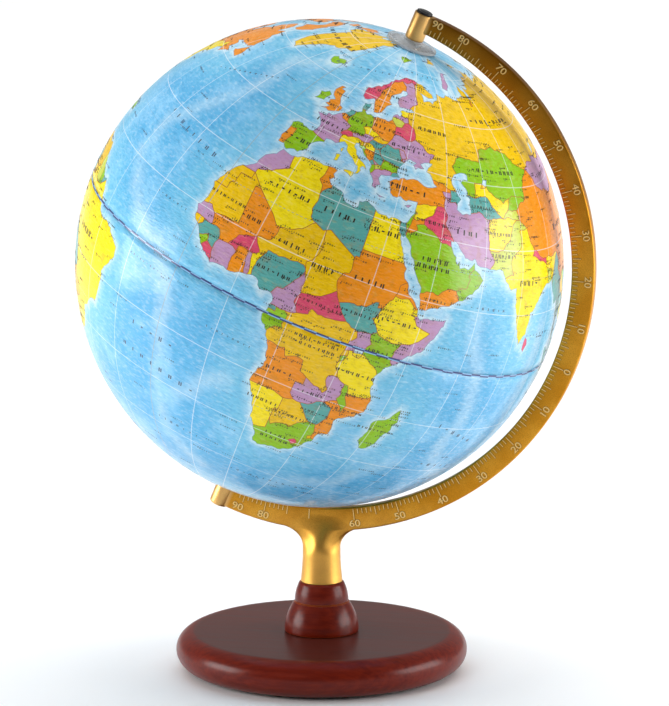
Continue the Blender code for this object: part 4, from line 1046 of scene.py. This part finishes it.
def gold_rubbed():
    """The raised scale: paler gold on top, partly rubbed lacquer and partly a painted highlight, with painted
    shade at its foot.
    """
    made, tree, shader, place = finish("gold_rubbed", metallic=1.0)
    speckle = noise(tree, place, 2300.0, 2.0, 0.6)
    # Paler gold on the raised marks: partly rubbed lacquer, partly a painted highlight.
    colour = mix(tree, step(tree, speckle, 0.35, 0.70), (0.96, 0.69, 0.28), (0.80, 0.50, 0.15))
    # Painted shade: darker at the marks' foot, in the hollows beside them.
    colour = mix(tree, step(tree, openness(tree, 0.8 * MM), 0.50, 0.92), (0.12, 0.05, 0.006), colour)
    rough = spread(tree, speckle, 0.26, 0.40, 0.3, 0.7)
    shade(tree, shader, colour, rough, bump(tree, speckle, 0.15, 0.04 * MM))
    return made


def stained_wood():
    """Mahogany stain over fine straight grain, rubbed thin along the edges, under satin lacquer, with a
    painted reflection greying the flat top.
    """
    made, tree, shader, place = finish(
        "stained_wood", specular_ior_level=0.05, coat_weight=0.40, coat_roughness=0.25
    )
    grain = streaks(tree, place, (30.0, 420.0, 420.0), 6.0, 0.65)
    pores = streaks(tree, place, (260.0, 3800.0, 3800.0), 3.0, 0.7)
    band = streaks(tree, place, (9.0, 70.0, 70.0), 3.0, 0.5)
    level = node(tree, "NewGeometry").outputs["Normal"]
    painted_top_reflection = step(tree, axes_of(tree, level)[2], 0.985, 0.999)
    soft = rounded_normal(tree, 0.9 * MM)
    same = node(tree, "VectorMath", {0: level, 1: soft}, operation="DOT_PRODUCT").outputs["Value"]
    edge = rest_of(tree, step(tree, same, 0.965, 0.998))
    colour = mix(tree, step(tree, grain, 0.32, 0.70), (0.092, 0.0044, 0.0010), (0.165, 0.0118, 0.0020))
    colour = wash(tree, colour, step(tree, band, 0.4, 0.7), 0.35, (0.19, 0.013, 0.0028))
    colour = wash(tree, colour, step(tree, pores, 0.58, 0.74), 0.40, (0.035, 0.002, 0.001))
    # Painted reflection: the flat top is greyed, standing in for the surroundings it reflects.
    colour = wash(tree, colour, painted_top_reflection, 0.55, (0.050, 0.024, 0.019))
    colour = wash(tree, colour, edge, 0.75, (0.42, 0.085, 0.014))
    shade(tree, shader, colour, spread(tree, grain, 0.30, 0.46), bump(tree, pores, 0.05, 0.05 * MM, soft))
    return made


def speckled(name, first, second, scale, rough=(0.4, 0.6), height=0.1, stretch=(1.0, 1.0, 1.0), **plain):
    """A plain substance with a little variation in its colour, gloss and surface."""
    made, tree, shader, place = finish(name, **plain)
    fine = noise(tree, stretched(tree, place, stretch), scale, 4.0, 0.6)
    broad = noise(tree, place, scale / 9.0, 2.0)
    colour = wash(tree, mix(tree, step(tree, fine, 0.35, 0.68), first, second), broad, 0.25, second)
    shade(tree, shader, colour, spread(tree, fine, *rough), bump(tree, fine, height, 0.08 * MM))
    return made


def clear_plastic():
    """Polished clear plastic, hazed a little by fine scratches."""
    made, tree, shader, place = finish("clear_plastic", transmission_weight=0.65, ior=1.30)
    haze = noise(tree, place, 90.0, 3.0)
    colour = mix(tree, haze, (0.72, 0.76, 0.78), (0.88, 0.90, 0.91))
    shade(tree, shader, colour, spread(tree, haze, 0.20, 0.32))
    return made


def floor_material():
    """Almost white, with a very faint cloud."""
    made, tree, shader, place = finish("studio_floor", roughness=0.55)
    shade(tree, shader, mix(tree, noise(tree, place, 6.0, 3.0), (0.90, 0.90, 0.90), (0.93, 0.93, 0.93)))
    return made


# The casting


def outer_radius(latitude):
    """The arm's outside radius, which falls off towards both ends."""
    if latitude > NORTH_TAPER_FROM:
        return ARM_OUTER - NORTH_TAPER * ((latitude - NORTH_TAPER_FROM) / (90.0 - NORTH_TAPER_FROM)) ** 2
    if latitude < -SOUTH_TAPER_FROM:
        return ARM_OUTER - SOUTH_TAPER * ((-latitude - SOUTH_TAPER_FROM) / (90.0 - SOUTH_TAPER_FROM)) ** 2
    return ARM_OUTER


def arm_plate():
    """Flat bar bent through half a turn, with rounded edges."""
    stations = []
    inner, front = ARM_INNER + ARM_EDGE, ARM_HALF - ARM_EDGE
    for k in range(ARM_STEPS + 1):
        latitude = ARM_END * (2.0 * k / ARM_STEPS - 1.0)
        outer = outer_radius(latitude) - ARM_EDGE
        section = []
        for quarter, corner in enumerate(((outer, front), (inner, front), (inner, -front), (outer, -front))):
            section += arc(corner, (ARM_EDGE, ARM_EDGE), 90.0 * quarter, 90.0 * (quarter + 1), 3)
        stations.append([upright(latitude) * radius + Vector((0.0, y, 0.0)) for radius, y in section])
    return swept("meridian_casting", stations, TO_ARM)


def stem_outline(height):
    """The stem's section: round at the foot, spreading to a web whose middle swells gently out of it."""
    angles = [math.tau * k / 64 for k in range(64)]
    if height <= STEM_WAIST:
        drop = (STEM_WAIST - height) / (STEM_WAIST - STEM_FOOT)
        radius = STEM_RADIUS + (STEM_FOOT_RADIUS - STEM_RADIUS) * drop**1.5
        return [(radius * math.cos(a), radius * math.sin(a), height) for a in angles]
    sunk = ARM_HALF - WEB_SUNK
    climb = clamped((height - STEM_WAIST - SPREAD_START) / SPREAD_HEIGHT)
    width = STEM_RADIUS + SPREAD_WIDTH * (1.0 - math.sqrt(1.0 - climb**2))
    thinning = clamped((height - STEM_WAIST - THINNING_START) / THINNING_HEIGHT)
    depth = sunk + (STEM_RADIUS - sunk) * (1.0 + math.cos(math.pi * thinning)) / 2.0
    web = clamped((height - STEM_WAIST) / WEB_HEIGHT)
    web = web * web * (3.0 - 2.0 * web)
    swell_width = min(width, SWELL_WIDTH)
    points = []
    for a in angles:
        across = width * math.cos(a)
        rim = min(1.0, (width - abs(across)) / WEB_RIM)
        swell = (1.0 + math.cos(math.pi * min(1.0, abs(across) / swell_width))) / 2.0
        flat = math.copysign(sunk * math.sqrt(rim * (2.0 - rim)) + (depth - sunk) * swell, math.sin(a))
        points.append((across, depth * math.sin(a) * (1.0 - web) + flat * web, height))
    return points


def arm_stem():
    """The stem, from the collar up into the arm's plate."""
    straight = [STEM_FOOT + (STEM_WAIST - STEM_FOOT) * k / 8 for k in range(8)]
    curved = [STEM_WAIST + SPREAD_TOP * math.sin(math.radians(90.0 * k / 28)) for k in range(28)]
    inside = [(k - 168.5) * MM for k in range(7)]
    stations = [stem_outline(height) for height in straight + curved + inside]
    return swept("stem", stations, Matrix.Translation(ARM_CENTRE))


def joined(target, others, operation="UNION"):
    """Adds the other pieces to the target, or cuts them out of it, and removes them."""
    for other in others:
        change = target.modifiers.new(other.name, "BOOLEAN")
        change.operation = operation
        change.solver = "EXACT"
        change.object = other
    bpy.context.view_layer.update()
    seen = target.evaluated_get(bpy.context.evaluated_depsgraph_get())
    mesh = bpy.data.meshes.new_from_object(seen)
    target.modifiers.clear()
    target.data = mesh
    for other in others:
        bpy.data.objects.remove(other, do_unlink=True)


def rounded_pin(name, top, bottom, top_edge, low_edge, steps):
    """A short cylinder on the polar axis with both ends rounded."""
    profile = [
        (0.0, top),
        *arc((BARREL_RADIUS - top_edge, top - top_edge), (top_edge, top_edge), 90.0, 0.0, 4),
        *arc((BARREL_RADIUS - low_edge, bottom + low_edge), (low_edge, low_edge), 0.0, -90.0, steps),
        (0.0, bottom),
    ]
    return turned(name, profile, 64, matrix=TO_ARM)


def meridian_casting(material):
    """Arm, stem, barrel and boss as one casting, bored for the cap and both pins."""
    arm = arm_plate()
    barrel = rounded_pin("barrel", BARREL_TOP, BARREL_BOTTOM, 0.5 * MM, 1.0 * MM, 5)
    boss = rounded_pin("boss", BOSS_TOP, BOSS_BOTTOM, 0.5 * MM, 1.8 * MM, 6)
    joined(arm, [barrel, boss, arm_stem()])
    bores = (
        (CAP_BORE_RADIUS, CAP_BORE_FLOOR, BARREL_TOP + MM),
        (PIN_BORE_RADIUS, BARREL_BOTTOM - MM, BARREL_TOP),
        (PIN_BORE_RADIUS, PIN_BORE_FLOOR, BOSS_TOP + MM),
    )
    cutters = []
    for k, (radius, low, top) in enumerate(bores):
        outline = [(0.0, top), (radius, top), (radius, low), (0.0, low)]
        cutters.append(turned(f"bore_{k}", outline, 40, matrix=TO_ARM))
    joined(arm, cutters, "DIFFERENCE")
    arm.data.materials.clear()
    arm.data.materials.append(material)
    arm.data.shade_smooth()
    arm.data.set_sharp_from_angle(angle=math.radians(32.0))
    return fit(arm, "stand", "gold_lacquer", "meridian_arm")


def scale_ticks(material):
    """Raised ticks at every degree, longer at every fifth and tenth, from the arm's inner edge."""
    bm = bmesh.new()
    near = ARM_INNER + TICK_START
    foot = (0.2 * MM - ARM_HALF, 0.40 * MM, 0.0)
    top = (-0.40 * MM - ARM_HALF, 0.24 * MM, 0.15 * MM)
    for degree in range(-86, 88):
        if -75 < degree < -60 and degree % 10:
            continue  # the stem's web covers these
        length = next(length for every, length in TICK_LENGTHS if degree % every == 0)
        out = upright(degree)
        side = Vector((-out.z, 0.0, out.x))
        corners = []
        for depth, half, trim in (foot, top):
            for radius in (near + trim, near + length - trim):
                for push in (-half, half):
                    corners.append(out * radius + side * push + Vector((0.0, depth, 0.0)))
        add_box(bm, corners)
    return fit(piece_from("scale_ticks", bm, material, TO_ARM), "stand", "gold_lacquer")


def figure_mesh(number):
    """A raised number, lying flat about the origin."""
    text = bpy.data.curves.new("figure", "FONT")
    text.body = str(number)
    text.size = FIGURE_SIZE
    text.extrude = 0.25 * MM
    text.bevel_depth = 0.10 * MM
    text.bevel_resolution = 1
    text.align_x = "CENTER"
    text.align_y = "CENTER"
    curve = bpy.data.objects.new("figure", text)
    bpy.context.scene.collection.objects.link(curve)
    bpy.context.view_layer.update()
    mesh = bpy.data.meshes.new_from_object(curve.evaluated_get(bpy.context.evaluated_depsgraph_get()))
    bpy.data.objects.remove(curve, do_unlink=True)
    return mesh


def scale_numerals(material):
    """Raised numbers at every tenth degree. Their tops point outwards above the equator and inwards below."""
    bm = bmesh.new()
    facing = Vector((0.0, -1.0, 0.0))
    for degree in range(-90, 100, 10):
        if degree == HIDDEN_FIGURE:
            continue
        mesh = figure_mesh(abs(degree))
        at = END_FIGURES.get(degree, degree)
        out = upright(at)
        up = out if degree >= 0 else -out
        turn = Matrix((up.cross(facing), up, facing)).transposed().to_4x4()
        reach = (ARM_INNER + FIGURE_START + outer_radius(at)) / 2.0
        turn @= Matrix.Diagonal((FIGURE_WIDENING, 1.0, 1.0, 1.0))
        mesh.transform(TO_ARM @ Matrix.Translation(out * reach + facing * ARM_HALF) @ turn)
        bm.from_mesh(mesh)
    return fit(piece_from("scale_figures", bm, material), "stand", "gold_lacquer")


# The foot, the cap and the dial


def wooden_base(material):
    """Round base: a broad flat top, a crisp line, and a full-round edge."""
    bottom, top = BASE_LOW.z, BASE_HIGH.z
    radius = (BASE_HIGH.y - BASE_LOW.y) / 2.0
    crease = math.radians(CREASE_ANGLE)
    height = (top - bottom) / (1.0 + math.sin(crease))
    depth = (radius - CREASE_RADIUS) / (1.0 - math.cos(crease))
    edge = arc((radius - depth, bottom + height), (depth, height), CREASE_ANGLE, -90.0, 34)
    flat = [(ROD_HOLE, top), *in_mm(((22.0, 0.0), (40.0, 0.0), (60.0, 0.0), (78.0, 0.0)), top)]
    lip = [(CREASE_RADIUS - 0.6 * MM, top), (CREASE_RADIUS - 0.2 * MM, top - 0.12 * MM)]
    under = in_mm(((60.0, 0.0), (30.0, 0.0), (14.5, 0.0), (14.0, 0.5)), bottom)
    recess = [(RECESS_RADIUS, RECESS_TOP), (ROD_HOLE, RECESS_TOP)]
    base = turned("turned_base", [*flat, *lip, *edge[1:], *under, *recess], 160, material, sharp=28.0)
    return fit(base, "stand", "stained_wood", "base_disc")


def wooden_collar(material):
    """Collar turned in two swelling steps, with a shadow line between them."""
    bottom, top = COLLAR_LOW.z, COLLAR_HIGH.z
    waist = top - 12.8 * MM
    steps = 16
    shares = [k / steps for k in range(steps + 1)]
    upper = [(16.9 * MM - 3.1 * MM * (1.0 - s) ** 2, top - (top - waist) * 0.95 * s) for s in shares]
    lower = [(17.3 * MM + 6.0 * MM * (1.0 - (1.0 - s) ** 2), waist - 17.9 * MM * s) for s in shares]
    groove = in_mm(((16.5, 0.25), (16.9, 0.05)), waist)
    foot = arc((22.8 * MM, bottom + 0.5 * MM), (0.4 * MM, 0.5 * MM), 0.0, -90.0, 4)
    profile = [(ROD_HOLE, top), (13.4 * MM, top), *upper[1:], *groove, *lower, *foot, (ROD_HOLE, bottom)]
    collar = turned("turned_collar", profile, 128, material, sharp=28.0)
    return fit(collar, "stand", "stained_wood", "collar")


def cap(material):
    """Black plug in the barrel's top, slightly domed, with a moulded ring."""
    rim = BARREL_TOP + 0.3 * MM
    dome = in_mm(((0.0, 1.35), (1.6, 1.3), (2.9, 1.15), (3.2, 0.95), (3.5, 1.05)), rim)
    shoulder = arc((4.5 * MM, rim + 0.55 * MM), (0.6 * MM, 0.5 * MM), 90.0, 0.0, 5)
    plug = in_mm(((5.1, 0.0), (3.7, 0.0), (3.7, -4.6), (3.3, -5.0), (0.0, -5.0)), rim)
    piece = turned("barrel_cap", [*dome, *shoulder, *plug], 64, material, TO_ARM)
    return fit(piece, "stand", "black_plastic", "pivot_cap")


def dial(material):
    """Clear hour dial with a rolled rim."""
    hub = ((2.6, 1.4), (6.2, 1.4), (6.8, 1.0), (7.4, 0.35))
    plate = ((11.0, 0.05), (14.4, -0.35), (14.8, 0.0))
    rim = arc((15.5 * MM, DIAL_HEIGHT - 0.3 * MM), (0.7 * MM, 0.55 * MM), 100.0, 0.0, 6)
    under = ((16.2, -1.4), (15.8, -1.7), (11.0, -1.25), (7.0, -0.9), (6.4, 0.0), (2.6, 0.0))
    profile = [*in_mm(hub + plate, DIAL_HEIGHT), *rim, *in_mm(under, DIAL_HEIGHT)]
    piece = turned("hour_dial", profile, 96, material, TO_BALL)
    return fit(piece, "time_dial", "clear_plastic", "time_dial")


def hour_marks(ink):
    """A mark for each hour on the dial, longer at every sixth."""
    bm = bmesh.new()
    layer = bm.loops.layers.float_color.new("print")
    for hour in range(24):
        angle = math.tau * hour / 24
        out = Vector((math.cos(angle), math.sin(angle), 0.0))
        side = Vector((-out.y, out.x, 0.0)) * 0.16 * MM
        near, far = (9.6 if hour % 6 == 0 else 11.2) * MM, 13.6 * MM
        corners = [
            out * r + side * s + Vector((0.0, 0.0, DIAL_HEIGHT + lift - DIAL_SLOPE * r))
            for r in (near, far) for s in (-1, 1) for lift in (0.18 * MM, 0.36 * MM)
        ]
        add_box(bm, corners, layer, (0.10, 0.10, 0.12))
    return fit(piece_from("hour_marks", bm, ink, TO_BALL), "time_dial", "clear_plastic")


def equator_band(material):
    """The printed tape over the seam, a hair proud of the ball."""
    outline = ((0.02, 0.85), (0.14, 0.72), (0.16, 0.0), (0.14, -0.72), (0.02, -0.85))
    profile = [(BALL_RADIUS + rise * MM, height * MM) for rise, height in outline]
    piece = turned("equator_band", profile, 360, material, TO_BALL)
    return fit(piece, "globe", "seam_tape", "equator_tape")


def carried_over():
    """The hidden hardware keeps its CAD shape and gets a worked finish."""
    steel = speckled(
        "zinc_plated_steel", (0.50, 0.52, 0.55), (0.66, 0.66, 0.62), 700.0, (0.22, 0.42), 0.12, metallic=1.0
    )
    felt = speckled(
        "felt", (0.012, 0.040, 0.020), (0.030, 0.085, 0.045), 1800.0, (0.90, 1.0), 0.9, sheen_weight=0.6
    )
    beech = speckled(
        "plain_wood", (0.50, 0.31, 0.14), (0.68, 0.48, 0.25), 900.0, (0.6, 0.8), 0.3, (1.0, 1.0, 0.08)
    )
    nylon = speckled("nylon", (0.74, 0.73, 0.68), (0.84, 0.83, 0.79), 1200.0, (0.35, 0.5))
    white = speckled("white_plastic", (0.70, 0.70, 0.68), (0.80, 0.80, 0.79), 1100.0, (0.3, 0.45))
    card = speckled("grey_card", (0.24, 0.22, 0.18), (0.38, 0.35, 0.29), 1500.0, (0.8, 0.95), 0.5)
    wanted = {
        steel: ("tie_rod", "base_washer", "lock_washer", "base_nut", "stem_key_pin", "north_pivot_pin",
                "south_pivot_pin"),
        felt: ("felt_pad",),
        beech: ("collar_dowel",),
        nylon: ("south_thrust_washer", "dial_washer"),
        white: ("north_grommet", "south_grommet"),
        card: ("equator_hoop", "north_backing_washer", "south_backing_washer"),
    }
    for material, names in wanted.items():
        for name in names:
            mesh = frame["nodes"][name].data
            mesh.materials.clear()
            mesh.materials.append(material)


# Studio


def area_light(name, place, target, size, power, mirrored):
    light = bpy.data.lights.new(name, "AREA")
    light.shape = "RECTANGLE"
    light.size, light.size_y = size
    light.energy = power
    obj = bpy.data.objects.new(name, light)
    bpy.context.scene.collection.objects.link(obj)
    obj.location = place
    obj.rotation_euler = (Vector(target) - Vector(place)).to_track_quat("-Z", "Y").to_euler()
    obj.visible_glossy = mirrored
    obj.visible_camera = False


def studio():
    """A pale floor, bright at the back and dim in front, and a softbox close to each side."""
    bm = bmesh.new()
    bmesh.ops.create_grid(bm, x_segments=8, y_segments=8, size=FLOOR_HALF)
    floor = piece_from("studio_floor", bm, floor_material())
    world = bpy.data.worlds.new("studio")
    world.use_nodes = True
    tree = world.node_tree
    towards_back = axes_of(tree, node(tree, "TexCoord").outputs["Generated"])[1]
    sky = tree.nodes["Background"]
    sky.inputs["Color"].default_value = (1.0, 1.0, 1.0, 1.0)
    tree.links.new(spread(tree, towards_back, 0.12, 0.36, -0.9, 0.9), sky.inputs["Strength"])
    bpy.context.scene.world = world
    bpy.context.scene.view_settings.view_transform = "Standard"
    middle = (0.0, 0.0, 0.26)
    area_light("left_box", (-1.15, -0.35, 0.34), middle, (0.7, 0.5), 9.0, True)
    area_light("right_box", (1.15, 0.1, 0.34), middle, (0.9, 0.5), 8.5, True)
    area_light("front_key", (-0.7, -2.4, 1.5), middle, (1.6, 1.2), 19.0, False)
    area_light("backdrop", (0.0, 1.8, 2.4), (0.0, 1.8, 0.0), (5.0, 4.0), 120.0, False)


def camera():
    """Seen from in front, a little to the right and from above, with a long lens."""
    azimuth, elevation = math.radians(11.73), math.radians(12.29)
    distance, aside, below = 6.0, 8.1 * MM, 59.2 * MM
    level = Vector((math.sin(azimuth), -math.cos(azimuth), 0.0))
    back = level * math.cos(elevation) + Vector((0.0, 0.0, math.sin(elevation)))
    right = Vector((math.cos(azimuth), math.sin(azimuth), 0.0))
    up = back.cross(right)
    made = bpy.data.cameras.new("camera")
    made.sensor_width = 36.0
    made.lens = 490.2
    made.clip_end = 50.0
    obj = bpy.data.objects.new("camera", made)
    bpy.context.scene.collection.objects.link(obj)
    obj.matrix_world = Matrix((right, up, back)).transposed().to_4x4()
    obj.location = ARM_CENTRE + back * distance + right * aside - up * below
    bpy.context.scene.camera = obj


def globe():
    """The printed ball: both halves, the lines and marks of the map, and the tape."""
    ink = printed_ink()
    paper = printed_map()
    flat = FlatMap()
    seas = sea_colours(flat)
    for name, side in (("north", 1), ("south", -1)):
        half = half_ball(f"printed_{name}_half", flat, seas, side, paper)
        fit(half, "globe", "printed_map", f"{name}ern_hemisphere")
    fit(map_lines(flat, ink), "globe", "printed_map")
    fit(map_marks(flat, ink), "globe", "printed_map")
    equator_band(seam_print())
    return ink


def stand():
    """The casting with its scale, the wooden foot and the cap."""
    meridian_casting(gold_lacquer())
    # The scale's paler gold is partly rubbed lacquer and partly a painted highlight.
    rubbed = gold_rubbed()
    scale_ticks(rubbed)
    scale_numerals(rubbed)
    wood = stained_wood()
    wooden_base(wood)
    wooden_collar(wood)
    black, grey = (0.006, 0.006, 0.007), (0.014, 0.014, 0.015)
    cap(speckled("black_plastic", black, grey, 1400.0, (0.16, 0.26), 0.03, specular_ior_level=0.3))


camera()
studio()
ink = globe()
stand()
dial(clear_plastic())
hour_marks(ink)
carried_over()
